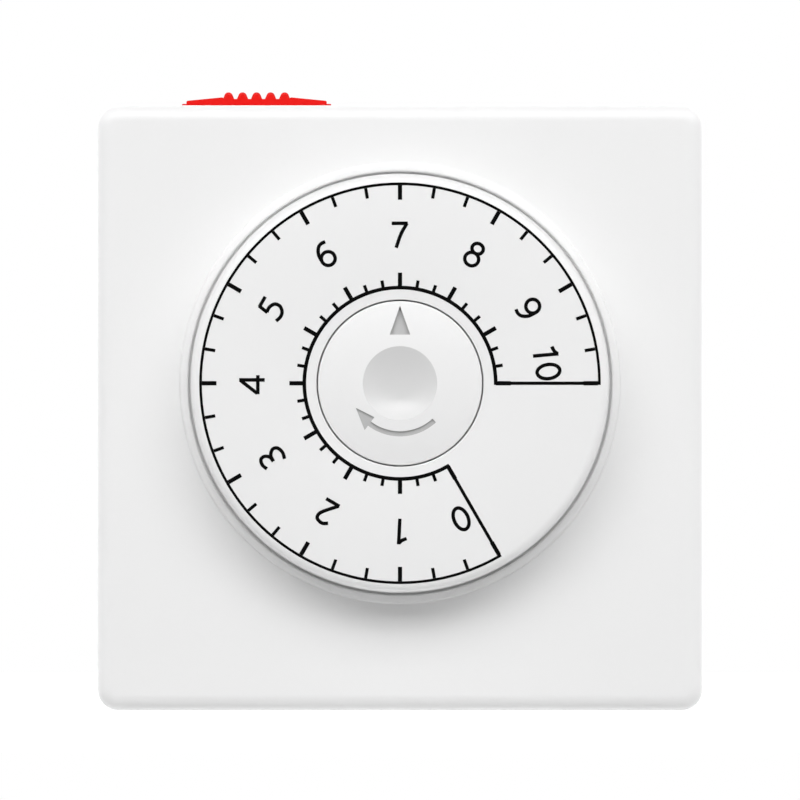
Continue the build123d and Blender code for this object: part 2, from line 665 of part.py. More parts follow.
# Clutch pinion: drives the gear ring, two pawl arms reach into the clutch wheel
pinion_turn = ARBOR_ANGLE + 180 + 180 / PINION_TEETH
with BuildPart() as clutch_pinion:
    with BuildSketch(Plane((arbor_x, RING_Y[1] + 0.2, arbor_z), x_dir=(1, 0, 0), z_dir=(0, -1, 0))):
        Polygon(*gear_outline(PINION_TEETH, RING_MODULE, pinion_turn), align=None)
        Circle(ARBOR_R + RUN, mode=Mode.SUBTRACT)
    extrude(amount=span(RING_Y) + 0.2)
    with BuildSketch(Plane((arbor_x, WHEEL_Y[0] + 0.9, arbor_z), x_dir=(1, 0, 0), z_dir=(0, -1, 0))):
        Circle(3.4)
        Circle(ARBOR_R + 1.5, mode=Mode.SUBTRACT)
        for turn in (0, 180):
            with BuildLine():
                inner_start = polar(2.6, turn)
                outer_start = polar(3.4, turn + 12)
                ThreePointArc(inner_start, polar(4.4, turn + 45), polar(6.0, turn + 85))
                Line(polar(6.0, turn + 85), polar(6.3, turn + 78))
                ThreePointArc(polar(6.3, turn + 78), polar(5.2, turn + 42), polar(3.3, turn - 8))
                Line(polar(3.3, turn - 8), inner_start)
            make_face()
    extrude(amount=0.9 + 0.2)
finish(clutch_pinion, "clutch_pinion")

# Motor: drawn can with rolled edge, end plate with two lugs, output pinion on its shaft
motor_plane_y = CHASSIS_Y[1]
with BuildPart() as motor_can:
    with BuildSketch(front(motor_plane_y + MOTOR_LEN)):
        with Locations(MOTOR_MID):
            Circle(MOTOR_R)
    extrude(amount=MOTOR_LEN - END_PLATE_T)
    chamfer(motor_can.faces().sort_by(Axis.Y)[-1].edges(), 1.0)
    with BuildSketch(front(motor_plane_y + MOTOR_LEN)):
        with Locations(MOTOR_MID):
            Circle(6.0)
    extrude(amount=0.5, mode=Mode.SUBTRACT)
finish(motor_can, "motor_can")

with BuildPart() as motor_end_plate:
    with BuildSketch(front(motor_plane_y + END_PLATE_T)):
        with Locations(MOTOR_MID):
            Circle(MOTOR_R)
            SlotOverall(2 * MOTOR_LUG_OUT + MOTOR_LUG_W, MOTOR_LUG_W, rotation=MOTOR_LUG_ANGLE)
        with Locations((output_x, output_z)):
            Circle(1.2, mode=Mode.SUBTRACT)
        with Locations(MOTOR_MID):
            with PolarLocations(MOTOR_LUG_OUT, 2, start_angle=MOTOR_LUG_ANGLE):
                Circle(MOTOR_SCREW_R, mode=Mode.SUBTRACT)
    extrude(amount=END_PLATE_T)
finish(motor_end_plate, "motor_end_plate")

with BuildPart() as motor_pinion:
    with BuildSketch(Plane((output_x, WHEEL_Y[1] + 0.2, output_z), x_dir=(1, 0, 0), z_dir=(0, -1, 0))):
        Polygon(*gear_outline(MOTOR_TEETH, WHEEL_MODULE, MOTOR_ANGLE + 180 + 180 / MOTOR_TEETH), align=None)
    extrude(amount=span(WHEEL_Y) + 0.6)
    with BuildSketch(front(motor_plane_y + END_PLATE_T)):
        with Locations((output_x, output_z)):
            Circle(1.15)
    extrude(amount=motor_plane_y + END_PLATE_T - WHEEL_Y[1])
finish(motor_pinion, "motor_pinion")

with BuildPart() as motor_screws:
    with BuildSketch(front(motor_plane_y + END_PLATE_T + 1.4)):
        with Locations(MOTOR_MID):
            with PolarLocations(MOTOR_LUG_OUT, 2, start_angle=MOTOR_LUG_ANGLE):
                Circle(2.0)
    extrude(amount=1.4)
    with BuildSketch(front(motor_plane_y + END_PLATE_T + 1.4)):
        with Locations(MOTOR_MID):
            with PolarLocations(MOTOR_LUG_OUT, 2, start_angle=MOTOR_LUG_ANGLE):
                Rectangle(4.2, 0.6)
    extrude(amount=0.6, mode=Mode.SUBTRACT)
    with BuildSketch(front(motor_plane_y + END_PLATE_T)):
        with Locations(MOTOR_MID):
            with PolarLocations(MOTOR_LUG_OUT, 2, start_angle=MOTOR_LUG_ANGLE):
                Circle(MOTOR_SCREW_R)
    extrude(amount=END_PLATE_T + span(CHASSIS_Y))
finish(motor_screws, "motor_screws")

# Switch base: tray that holds the follower's pin and the two contact strips
pivot_x, pivot_z = LEVER_PIVOT
base_mid_z = sum(BASE_Z) / 2
top_wall_z = BASE_Z[1] - BASE_WALL / 2
bridge_x = BASE_X[0] + BASE_BRIDGE
clamp_x = BASE_X[1] - BASE_CLAMP / 2
with BuildPart() as switch_base:
    with BuildSketch(front(INNER_Y + BASE_FLOOR_T)):
        with Locations((sum(BASE_X) / 2, base_mid_z)):
            Rectangle(span(BASE_X), span(BASE_Z))
        with Locations(LEVER_PIVOT):
            Circle(EYE_R)
    extrude(amount=BASE_FLOOR_T)
    with BuildSketch(front(BASE_BACK[1])):
        with Locations((BASE_X[0] + BASE_BRIDGE / 2, base_mid_z)):
            Rectangle(BASE_BRIDGE, span(BASE_Z))
        with Locations(LEVER_PIVOT):
            Circle(EYE_R)
    extrude(amount=span(BASE_BACK))
    with BuildSketch(front(BASE_BACK[1])):
        with Locations((bridge_x - BASE_WALL, top_wall_z)):
            Rectangle(2 * BASE_WALL, BASE_WALL)
    extrude(amount=BASE_BACK[1] - INNER_Y)
    with BuildSketch(front(BASE_BACK[0])):
        with Locations(((bridge_x + BASE_X[1]) / 2, top_wall_z)):
            Rectangle(BASE_X[1] - bridge_x, BASE_WALL)
        with Locations((clamp_x, base_mid_z)):
            Rectangle(BASE_CLAMP, span(BASE_Z))
    extrude(amount=BASE_BACK[0] - INNER_Y)
    with BuildSketch(front(STRIP_Y[1])):
        with Locations((clamp_x, LEAF_Z + STRIP_T / 2), (clamp_x, FIXED_Z + STRIP_T / 2)):
            Rectangle(BASE_CLAMP + 1.0, STRIP_T)
    extrude(amount=span(STRIP_Y), mode=Mode.SUBTRACT)
    with BuildSketch(front(BASE_BACK[1])):
        with Locations(LEVER_PIVOT):
            Circle(ARBOR_R)
    extrude(amount=BASE_BACK[1] - INNER_Y, mode=Mode.SUBTRACT)
    with BuildSketch(front(INNER_Y + BASE_FLOOR_T)):
        with Locations(*BASE_PEGS):
            Circle(PEG_R)
    extrude(amount=BASE_FLOOR_T, mode=Mode.SUBTRACT)
finish(switch_base, "switch_base")

with BuildPart() as lever_pin:
    with BuildSketch(front(BASE_BACK[1])):
        with Locations(LEVER_PIVOT):
            Circle(ARBOR_R)
    extrude(amount=BASE_BACK[1] - INNER_Y)
finish(lever_pin, "lever_pin")

# Follower: its nose rides on the cam, its bump lifts the leaf, its tail is pressed by the override
nose_x, nose_z = polar(CAM_R + NOSE_R + 0.05, 90.0 - FOLLOWER_CLOCK)
arm_angle = math.degrees(math.atan2(nose_z - pivot_z, nose_x - pivot_x))
arm_len = math.hypot(nose_x - pivot_x, nose_z - pivot_z)
bump_root_z = pivot_z + (BUMP_X - pivot_x) * math.tan(math.radians(arm_angle))
bump_z = LEAF_Z - RUN - BUMP_R
with BuildPart() as switch_lever:
    with BuildSketch(front(LEVER_Y[1])):
        with Locations(LEVER_PIVOT):
            Circle(1.9)
        with Locations(Location(((nose_x + pivot_x) / 2, (nose_z + pivot_z) / 2, 0), (0, 0, arm_angle))):
            Rectangle(arm_len, LEVER_T)
        with Locations((nose_x, nose_z)):
            Circle(NOSE_R)
        with Locations((BUMP_X, (bump_root_z + bump_z) / 2)):
            Rectangle(2 * BUMP_R, bump_z - bump_root_z)
        with Locations((BUMP_X, bump_z)):
            Circle(BUMP_R)
        with BuildLine():
            Polyline(
                (pivot_x, pivot_z - 1.2), (pivot_x, pivot_z + 1.2), (TAIL_X, TAIL_TOP - 0.2 * TAIL_R),
                (TAIL_X, TAIL_TOP - 1.8 * TAIL_R), close=True,
            )
        make_face()
        with Locations((TAIL_X, TAIL_TOP - TAIL_R)):
            Circle(TAIL_R)
        with Locations(LEVER_PIVOT):
            Circle(ARBOR_R + RUN, mode=Mode.SUBTRACT)
    extrude(amount=span(LEVER_Y))
finish(switch_lever, "switch_lever")

# Moving contact: leaf spring clamped in the base, with its contact rivet
with BuildPart() as moving_contact:
    with BuildSketch(front(STRIP_Y[1])):
        with Locations((0.0, LEAF_Z + STRIP_T / 2)):
            Rectangle(STRIP_LEN, STRIP_T)
    extrude(amount=span(STRIP_Y))
    with BuildSketch(Plane((CONTACT_X, sum(STRIP_Y) / 2, LEAF_Z + STRIP_T))):
        Circle(RIVET_R)
    extrude(amount=RIVET_H)
finish(moving_contact, "moving_contact")

with BuildPart() as fixed_contact:
    with BuildSketch(front(STRIP_Y[1])):
        with Locations((0.0, FIXED_Z + STRIP_T / 2)):
            Rectangle(STRIP_LEN, STRIP_T)
    extrude(amount=span(STRIP_Y))
    with BuildSketch(Plane((CONTACT_X, sum(STRIP_Y) / 2, LEAF_Z + STRIP_T + RIVET_H + RIVET_GAP))):
        Circle(RIVET_R)
    extrude(amount=FIXED_Z - LEAF_Z - STRIP_T - RIVET_H - RIVET_GAP)
finish(fixed_contact, "fixed_contact")

# Override slider: low wedge with five round ridges, on a neck through the slot
slider_z = TOP_Z + SLIDER_LIFT
slider_left = SLIDER_X - SLIDER_LEN / 2
slider_right = SLIDER_X + SLIDER_LEN / 2
slider_end_z = TOP_Z + SLIDER_END
shoulder_z = TOP_Z + SLIDER_SHOULDER
ridge_half = RIDGE_PITCH * (RIDGES - 0.3) / 2
ridges_left = SLIDER_X - ridge_half
ridges_right = SLIDER_X + ridge_half
with BuildPart() as override_slider:
    with BuildSketch(front(SLIDER_Y[1])):
        with BuildLine():
            Polyline(
                (slider_left, slider_z), (slider_left, slider_end_z),
                (ridges_left, shoulder_z), (ridges_left, TOP_Z + RIDGE_VALLEY),
                (ridges_right, TOP_Z + RIDGE_VALLEY), (ridges_right, shoulder_z),
                (slider_right, slider_end_z), (slider_right, slider_z), close=True,
            )
        make_face()
        with Locations((SLIDER_X, TOP_Z + 0.2)):
            Rectangle(SLIDER_FLANGE, 0.3)
        for ridge in range(RIDGES):
            ridge_x = SLIDER_X + RIDGE_PITCH * (ridge - (RIDGES - 1) / 2)
            with Locations((ridge_x, TOP_Z + RIDGE_TOP - RIDGE_R)):
                Circle(RIDGE_R)
            with Locations((ridge_x, TOP_Z + RIDGE_TOP / 2 - RIDGE_R / 2)):
                Rectangle(2 * RIDGE_R, RIDGE_TOP - RIDGE_R)
        with Locations((SLIDER_X, slider_z - 0.15)):
            Rectangle(SLIDER_FLANGE, 0.3, mode=Mode.SUBTRACT)
    extrude(amount=span(SLIDER_Y))
    with BuildSketch(Plane.XY.offset(TOP_Z)):
        with Locations((SLIDER_X, sum(SLIDER_Y) / 2)):
            RectangleRounded(SLIDER_FLANGE, span(SLIDER_Y), 1.2)
    extrude(amount=RIDGE_TOP + 1.0, mode=Mode.INTERSECT)
    with BuildSketch(Plane.XY.offset(CARRIER_Z[0])):
        with Locations((sum(SLIDER_NECK) / 2, sum(SLIDER_NECK_Y) / 2)):
            Rectangle(span(SLIDER_NECK), span(SLIDER_NECK_Y))
    extrude(amount=slider_z + 0.2 - CARRIER_Z[0])
finish(override_slider, "override_slider")

# Override carrier: slides under the top wall, its sloping foot presses the follower's tail down
tail_arm = (pivot_x - TAIL_X, TAIL_TOP - pivot_z)
lift = math.radians(LEVER_LIFT)
tail_drop = tail_arm[0] * math.sin(lift) + tail_arm[1] * (1 - math.cos(lift))
foot_slope = tail_drop / SLIDE_TRAVEL
foot_x = (TAIL_X - SLIDE_TRAVEL - 0.6, TAIL_X + TAIL_R)
foot_z = [TAIL_TOP + RUN + foot_slope * (x - TAIL_X) for x in foot_x]
carrier_x = (foot_x[0], SLIDER_NECK[1] + 2.2)
with BuildPart() as override_cam:
    with BuildSketch(Plane.XY.offset(CARRIER_Z[0])):
        with Locations((sum(carrier_x) / 2, sum(CARRIER_Y) / 2)):
            Rectangle(span(carrier_x), span(CARRIER_Y))
        with Locations((sum(SLIDER_NECK) / 2, sum(SLIDER_NECK_Y) / 2)):
            Rectangle(span(SLIDER_NECK), span(SLIDER_NECK_Y), mode=Mode.SUBTRACT)
    extrude(amount=span(CARRIER_Z))
    with BuildSketch(front(FOOT_Y[1])):
        with BuildLine():
            Polyline(
                (foot_x[0], foot_z[0]), (foot_x[1], foot_z[1]), (foot_x[1], CARRIER_Z[0]),
                (foot_x[0], CARRIER_Z[0]), close=True,
            )
        make_face()
    extrude(amount=span(FOOT_Y))
finish(override_cam, "override_cam")

# Plug pins: blade, shoulder that the clamp traps, and tab for the lead
for name, (place, turn, length) in blade_pattern.items():
    spot = Location((place[0], place[1], 0), (0, 0, turn))
    with BuildPart() as pin:
        with BuildSketch(front(length)):
            with Locations(spot):
                Rectangle(BLADE_W, BLADE_T)
        extrude(amount=length - SHOULDER_Y)
        chamfer(pin.faces().sort_by(Axis.Y)[-1].edges(), 0.55)
        with BuildSketch(front(-BACK_WALL)):
            with Locations(spot):
                Rectangle(BLADE_W + 1.6, BLADE_T + 1.6)
        extrude(amount=-BACK_WALL - SHOULDER_Y)
        with BuildSketch(front(SHOULDER_Y)):
            with Locations(spot):
                Rectangle(TAB_W, BLADE_T)
        extrude(amount=SHOULDER_Y - TAB_Y)
    finish(pin, f"{name}_pin")

# Clamp plate over the pins' shoulders, and its two screws
clamp_y = SHOULDER_Y - CLAMP_T
with BuildPart() as pin_clamp:
    with BuildSketch(front(SHOULDER_Y)):
        with Locations((0, 2.5)):
            RectangleRounded(40.0, 26.0, 3.0)
        for place, turn, length in blade_pattern.values():
            with Locations(Location((place[0], place[1], 0), (0, 0, turn))):
                Rectangle(TAB_W, BLADE_T, mode=Mode.SUBTRACT)
        with Locations(*CLAMP_SCREWS):
            Circle(CLAMP_SCREW_R + 0.2, mode=Mode.SUBTRACT)
    extrude(amount=CLAMP_T)
finish(pin_clamp, "pin_clamp")

with BuildPart() as clamp_screws:
    with BuildSketch(front(clamp_y)):
        with Locations(*CLAMP_SCREWS):
            Circle(2.3 * CLAMP_SCREW_R)
    extrude(amount=1.5)
    with BuildSketch(front(clamp_y - 0.7)):
        with Locations(*CLAMP_SCREWS):
            Rectangle(3.0, RECESS_W)
            Rectangle(RECESS_W, 3.0)
    extrude(amount=0.8, mode=Mode.SUBTRACT)
    with BuildSketch(front(CLAMP_SCREW_TIP_Y)):
        with Locations(*CLAMP_SCREWS):
            Circle(CLAMP_SCREW_R)
    extrude(amount=CLAMP_SCREW_TIP_Y - clamp_y)
finish(clamp_screws, "clamp_screws")

# Outlet in the bottom edge: the same pattern, earth towards the wall, line on the left
outlet_pattern = {
    "line": ((-line_at[0], -line_at[1]), 60.0),
    "neutral": ((line_at[0], -line_at[1]), 120.0),
    "earth": ((0.0, -EARTH_OUT), 90.0),
}
with BuildPart() as outlet_face:
    with BuildSketch(below(FLANGE_Z[1])):
        Rectangle(OUTLET_W + 3.0, OUTLET_D + 1.5)
    extrude(amount=span(FLANGE_Z))
    with BuildSketch(below(FLANGE_Z[0])):
        RectangleRounded(OUTLET_W, OUTLET_D, 0.05)
    extrude(amount=WALL)
    with BuildSketch(below(FLANGE_Z[1])):
        for place, turn in outlet_pattern.values():
            with Locations(Location((place[0], place[1], 0), (0, 0, turn))):
                Rectangle(BLADE_W + 0.7, BLADE_T + 0.6)
    extrude(amount=span(FLANGE_Z) + WALL, mode=Mode.SUBTRACT)
finish(outlet_face, "outlet_face")

notch_mid = ((SPRING_NOTCH_X + SHUTTER_X[1]) / 2, sum(SPRING_NOTCH_D) / 2)
with BuildPart() as outlet_shutter:
    with BuildSketch(below(SHUTTER_Z[1])):
        with Locations((sum(SHUTTER_X) / 2, sum(SHUTTER_D) / 2)):
            Rectangle(span(SHUTTER_X), span(SHUTTER_D))
        for name, (place, turn) in outlet_pattern.items():
            if name == "earth":
                with Locations((-SHUTTER_TRAVEL / 2, SHUTTER_D[0] + 1.7)):
                    Rectangle(BLADE_T + 0.6 + SHUTTER_TRAVEL, 5.0, mode=Mode.SUBTRACT)
            else:
                with Locations(Location((place[0] - SHUTTER_TRAVEL, place[1], 0), (0, 0, turn))):
                    Rectangle(BLADE_W + 0.7, BLADE_T + 0.6, mode=Mode.SUBTRACT)
        with Locations(notch_mid):
            Rectangle(SHUTTER_X[1] - SPRING_NOTCH_X, span(SPRING_NOTCH_D), mode=Mode.SUBTRACT)
    extrude(amount=span(SHUTTER_Z))
finish(outlet_shutter, "outlet_shutter")

spring_x = (SPRING_NOTCH_X + 0.35, RECESS_X - 0.35)
fold = span(spring_x) / SPRING_FOLDS
zigzag = []
for bend in range(SPRING_FOLDS + 1):
    zigzag.append((spring_x[0] + fold * bend, notch_mid[1] + (1.4 if bend % 2 == 0 else -1.4)))
with BuildPart() as shutter_spring:
    with BuildSketch(below(SHUTTER_Z[1] - 0.2)):
        with BuildLine():
            Polyline(*zigzag)
        trace(line_width=0.4)
    extrude(amount=span(SHUTTER_Z) - 0.4)
finish(shutter_spring, "shutter_spring")

with BuildPart() as outlet_block:
    with BuildSketch(below(BLOCK_TOP)):
        with Locations((0, sum(BLOCK_D) / 2)):
            RectangleRounded(BLOCK_W, span(BLOCK_D), 1.0)
    extrude(amount=BLOCK_TOP - FLANGE_Z[1])
    with BuildSketch(below(SHUTTER_Z[1] + FIT)):
        with Locations((0, sum(SHUTTER_D) / 2)):
            Rectangle(2 * RECESS_X, span(SHUTTER_D) + 0.2)
        with Locations((0, -EARTH_OUT)):
            Rectangle(BLADE_T + 1.8, BLADE_W + 1.6)
    extrude(amount=SHUTTER_Z[1] + FIT - FLANGE_Z[1], mode=Mode.SUBTRACT)
    with BuildSketch(below(BLOCK_TOP - BLOCK_ROOF)):
        for place, turn in outlet_pattern.values():
            with Locations(Location((place[0], place[1], 0), (0, 0, turn))):
                Rectangle(BLADE_W + 1.2, BLADE_T + 1.8)
    extrude(amount=BLOCK_TOP - BLOCK_ROOF - SHUTTER_Z[1] - FIT, mode=Mode.SUBTRACT)
    with BuildSketch(below(BLOCK_TOP)):
        for place, turn in outlet_pattern.values():
            with Locations(Location((place[0], place[1], 0), (0, 0, turn))):
                Rectangle(CLIP_TAB_W, CLIP_TAB_T)
    extrude(amount=BLOCK_ROOF, mode=Mode.SUBTRACT)
finish(outlet_block, "outlet_block")

# Spring clips of the outlet: two leaves joined at the top, with a tab for the lead
for name, (place, turn) in outlet_pattern.items():
    spot = Location((place[0], place[1], 0), (0, 0, turn))
    with BuildPart() as clip:
        with BuildSketch(below(CLIP_TOP)):
            with Locations(spot):
                Rectangle(CLIP_W, 5 * LEAF_T)
        extrude(amount=CLIP_TAB_T)
        with BuildSketch(below(CLIP_TOP - CLIP_TAB_T)):
            with Locations(spot):
                with Locations((0, 2 * LEAF_T), (0, -2 * LEAF_T)):
                    Rectangle(CLIP_W, LEAF_T)
        extrude(amount=LEAF_LEN)
        with BuildSketch(below(TAB_TOP)):
            with Locations(spot):
                Rectangle(CLIP_TAB_W, CLIP_TAB_T)
        extrude(amount=TAB_TOP - CLIP_TOP)
    finish(clip, f"{name}_contact")

# Leads inside the case: straight runs joined by arcs, insulated wire
def lead(points, radius):
    """Lay a wire along the points and return its builder."""
    path_points = [Vector(*p) for p in points]
    runs = [(b - a).length for a, b in zip(path_points, path_points[1:])]
    radii = []
    for before, here, after, run_in, run_out in zip(
        path_points, path_points[1:], path_points[2:], runs, runs[1:]
    ):
        turn = math.radians((here - before).get_angle(after - here))
        radii.append(0.45 * min(run_in, run_out) / math.tan(turn / 2))
    with BuildPart() as wire:
        with BuildLine() as route:
            FilletPolyline(*points, radius=radii)
        start = route.line @ 0
        with BuildSketch(Plane(start, z_dir=route.line % 0)):
            RegularPolygon(radius, 8)
        sweep()
    return wire


tab_half = TAB_W / 2
up_right = polar(tab_half, 60)
feed_end = (line_at[0] + up_right[0], line_at[1] + up_right[1])
tab_mid_y = (clamp_y + TAB_Y) / 2
contact_y = OUTLET_MID_Y + line_at[1]
line_feed = lead(
    [(13.0, -35.0, LEAF_Z + 0.2), (17.5, -35.0, LEAF_Z + 0.2), (20.0, -34.0, 32.6), (20.0, -17.0, 33.6),
     (13.5, -12.5, 22.0), (12.0, tab_mid_y - 1.6, 9.0), (feed_end[0] + 2.6, tab_mid_y, feed_end[1] + 4.5),
     (feed_end[0], tab_mid_y, feed_end[1])],
    WIRE_R,
)
finish(line_feed, "line_feed")
line_switched = lead(
    [(13.0, -35.0, FIXED_Z + 0.2), (16.4, -35.0, FIXED_Z + 0.2), (15.6, -32.6, 32.8), (3.0, -27.0, 33.2),
     (-14.0, -24.6, 32.6), (-28.6, -24.0, 27.5), (-33.5, -24.0, 12.0), (-31.5, -24.0, -5.0),
     (-20.0, -23.2, -13.6), (-9.5, -22.2, -13.2), (-line_at[0], contact_y, -16.6),
     (-line_at[0], contact_y, TAB_TOP)],
    WIRE_R,
)
finish(line_switched, "line_switched")
neutral_lead = lead(
    [(-line_at[0] + up_right[0], tab_mid_y, line_at[1] - up_right[1]),
     (-line_at[0] + up_right[0] + 2.0, tab_mid_y, line_at[1] - up_right[1] - 3.46),
     (0.4, -14.0, -13.0), (4.8, -19.4, -12.6), (line_at[0], contact_y, -15.8),
     (line_at[0], contact_y, TAB_TOP)],
    WIRE_R,
)
finish(neutral_lead, "neutral_lead")
earth_lead = lead(
    [(0.0, tab_mid_y, EARTH_OUT - tab_half), (0.1, tab_mid_y - 0.1, 2.0), (-0.8, -10.8, -4.8),
     (0.0, -8.6, -12.6), (0.0, OUTLET_MID_Y + EARTH_OUT, -16.4), (0.0, OUTLET_MID_Y + EARTH_OUT, TAB_TOP)],
    WIRE_R,
)
finish(earth_lead, "earth_lead")

exit_x = MOTOR_MID[0] + polar(MOTOR_R, 230)[0]
exit_z = MOTOR_MID[1] + polar(MOTOR_R, 230)[1]
tab_side = polar(1.45, 60)
to_neutral = lead(
    [(exit_x, -19.0, exit_z), (exit_x - 2.4, -19.1, exit_z - 2.86), (8.4, -20.2, -13.2),
     (line_at[0] + tab_side[0], contact_y + tab_side[1], -16.6),
     (line_at[0] + tab_side[0], contact_y + tab_side[1], TAB_TOP)],
    THIN_WIRE_R,
)
to_line = lead(
    [(exit_x, -23.0, exit_z), (exit_x - 2.4, -23.1, exit_z - 2.86), (4.0, -25.2, -11.8), (-3.0, -24.8, -12.2),
     (-line_at[0] + tab_side[0], contact_y - tab_side[1], -15.6),
     (-line_at[0] + tab_side[0], contact_y - tab_side[1], TAB_TOP)],
    THIN_WIRE_R,
)
motor_leads = Compound(children=[to_neutral.part, to_line.part], label="motor_leads")
export_step(motor_leads, "parts/motor_leads.step")
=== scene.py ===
import json
import math

import bmesh
import bpy
from bpy.props import FloatProperty, FloatVectorProperty, IntProperty, PointerProperty
from mathutils import Matrix, Vector


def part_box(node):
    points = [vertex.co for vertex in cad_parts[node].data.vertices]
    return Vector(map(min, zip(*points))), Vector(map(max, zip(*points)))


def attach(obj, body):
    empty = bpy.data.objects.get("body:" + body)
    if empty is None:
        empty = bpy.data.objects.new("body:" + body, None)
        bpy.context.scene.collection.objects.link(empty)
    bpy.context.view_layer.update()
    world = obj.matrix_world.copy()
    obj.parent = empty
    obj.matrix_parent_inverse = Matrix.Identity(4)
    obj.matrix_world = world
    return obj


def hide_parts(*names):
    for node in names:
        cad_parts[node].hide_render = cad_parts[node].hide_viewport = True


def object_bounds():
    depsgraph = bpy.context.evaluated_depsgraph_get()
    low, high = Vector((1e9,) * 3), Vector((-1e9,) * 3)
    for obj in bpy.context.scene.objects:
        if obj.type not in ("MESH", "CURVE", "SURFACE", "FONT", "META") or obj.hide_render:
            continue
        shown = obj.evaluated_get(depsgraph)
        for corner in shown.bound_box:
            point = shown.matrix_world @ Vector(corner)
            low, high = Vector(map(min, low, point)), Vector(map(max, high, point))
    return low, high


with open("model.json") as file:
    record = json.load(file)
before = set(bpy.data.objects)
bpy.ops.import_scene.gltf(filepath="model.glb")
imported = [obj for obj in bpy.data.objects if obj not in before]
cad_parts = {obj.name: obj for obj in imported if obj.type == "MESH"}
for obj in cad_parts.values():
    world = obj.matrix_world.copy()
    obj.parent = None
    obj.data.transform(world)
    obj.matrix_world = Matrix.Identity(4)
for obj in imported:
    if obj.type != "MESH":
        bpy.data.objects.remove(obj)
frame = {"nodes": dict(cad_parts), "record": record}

# Looks of a plug-in countdown timer: moulded case, printed dial, fixed hub, red slide
# switch, plug pins and socket. Metres, in the frame of the CAD model: +X to the right
# seen from the front, +Y into the wall, +Z up, the dial's axis along Y through the origin.

bl_info = {
    "name": "Countdown timer socket",
    "version": (1, 0, 0),
    "blender": (4, 5, 0),
    "location": "3D View > Sidebar > Timer",
    "description": "Builds the visible shells, print and finishes of a countdown timer socket",
    "category": "Add Mesh",
}

MM = 0.001
PAST = 1 * MM           # how far a cutter reaches past what it cuts
SUPPORT = 0.3 * MM      # flat strip beside a rounding that keeps its shading apart from the flat's
TURNED = 256            # corners round a turned piece that shows
CAD_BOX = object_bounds()
CASE_LOW, CASE_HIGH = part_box("front_cover")
BACK_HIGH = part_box("rear_cover")[1]
DIAL_LOW, DIAL_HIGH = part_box("timer_dial")
HUB_LOW, HUB_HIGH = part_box("dial_hub")
SLIDER_LOW, SLIDER_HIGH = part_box("override_slider")
SCREW_LOW, SCREW_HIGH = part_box("cover_screws")
CASE_MID_Z = (CASE_LOW.z + CASE_HIGH.z) / 2
CASE_HALF = CASE_HIGH.x

# Places as the CAD model has them: (x, z) in millimetres, the turns of the plug's blades in degrees,
# and from where to where along X the rear half's lip is open
CHASSIS_POSTS = [(32.0, 22.5), (31.0, -16.0), (-26.0, -10.0)]
SWITCH_PEGS = [(-17.0, 30.5), (-4.0, 30.5)]
CLAMP_STANDS = [(-16.0, 3.0), (16.0, 3.0)]
OUTLET_STOPS = [(-15.8, -24.5), (15.8, -24.5)]
CASE_SCREW_X = 35.0
PIN_TURNS = {"line_pin": 60.0, "neutral_pin": 120.0, "earth_pin": 90.0}
SLIDER_GAP, OUTLET_GAP = (-35.0, -6.0), (-18.0, 18.0)


def linear(text):
    """Linear colour of an sRGB hex value."""
    levels = [int(text[place:place + 2], 16) / 255 for place in (0, 2, 4)]
    return [level / 12.92 if level <= 0.04045 else ((level + 0.055) / 1.055) ** 2.4 for level in levels]


def length(name, description, value):
    """A property for a length, given in millimetres."""
    return FloatProperty(
        name=name, description=description, default=value * MM, subtype="DISTANCE", unit="LENGTH"
    )


def angle(name, description, degrees):
    """A property for an angle, given in degrees."""
    return FloatProperty(
        name=name, description=description, default=math.radians(degrees), subtype="ANGLE", unit="ROTATION"
    )


def exponent(name, description, value):
    """A property for the power that bends a curve."""
    return FloatProperty(name=name, description=description, default=value, min=0.0)


def watts(name, description, value):
    """A property for what a lamp gives off."""
    return FloatProperty(name=name, description=description, default=value, min=0.0, unit="POWER")


def colour(name, description, text):
    """A property for a colour, given as an sRGB hex value."""
    return FloatVectorProperty(
        name=name, description=description, default=linear(text), size=3, min=0, max=1, subtype="COLOR"
    )


# Sizes and colours that a user would change


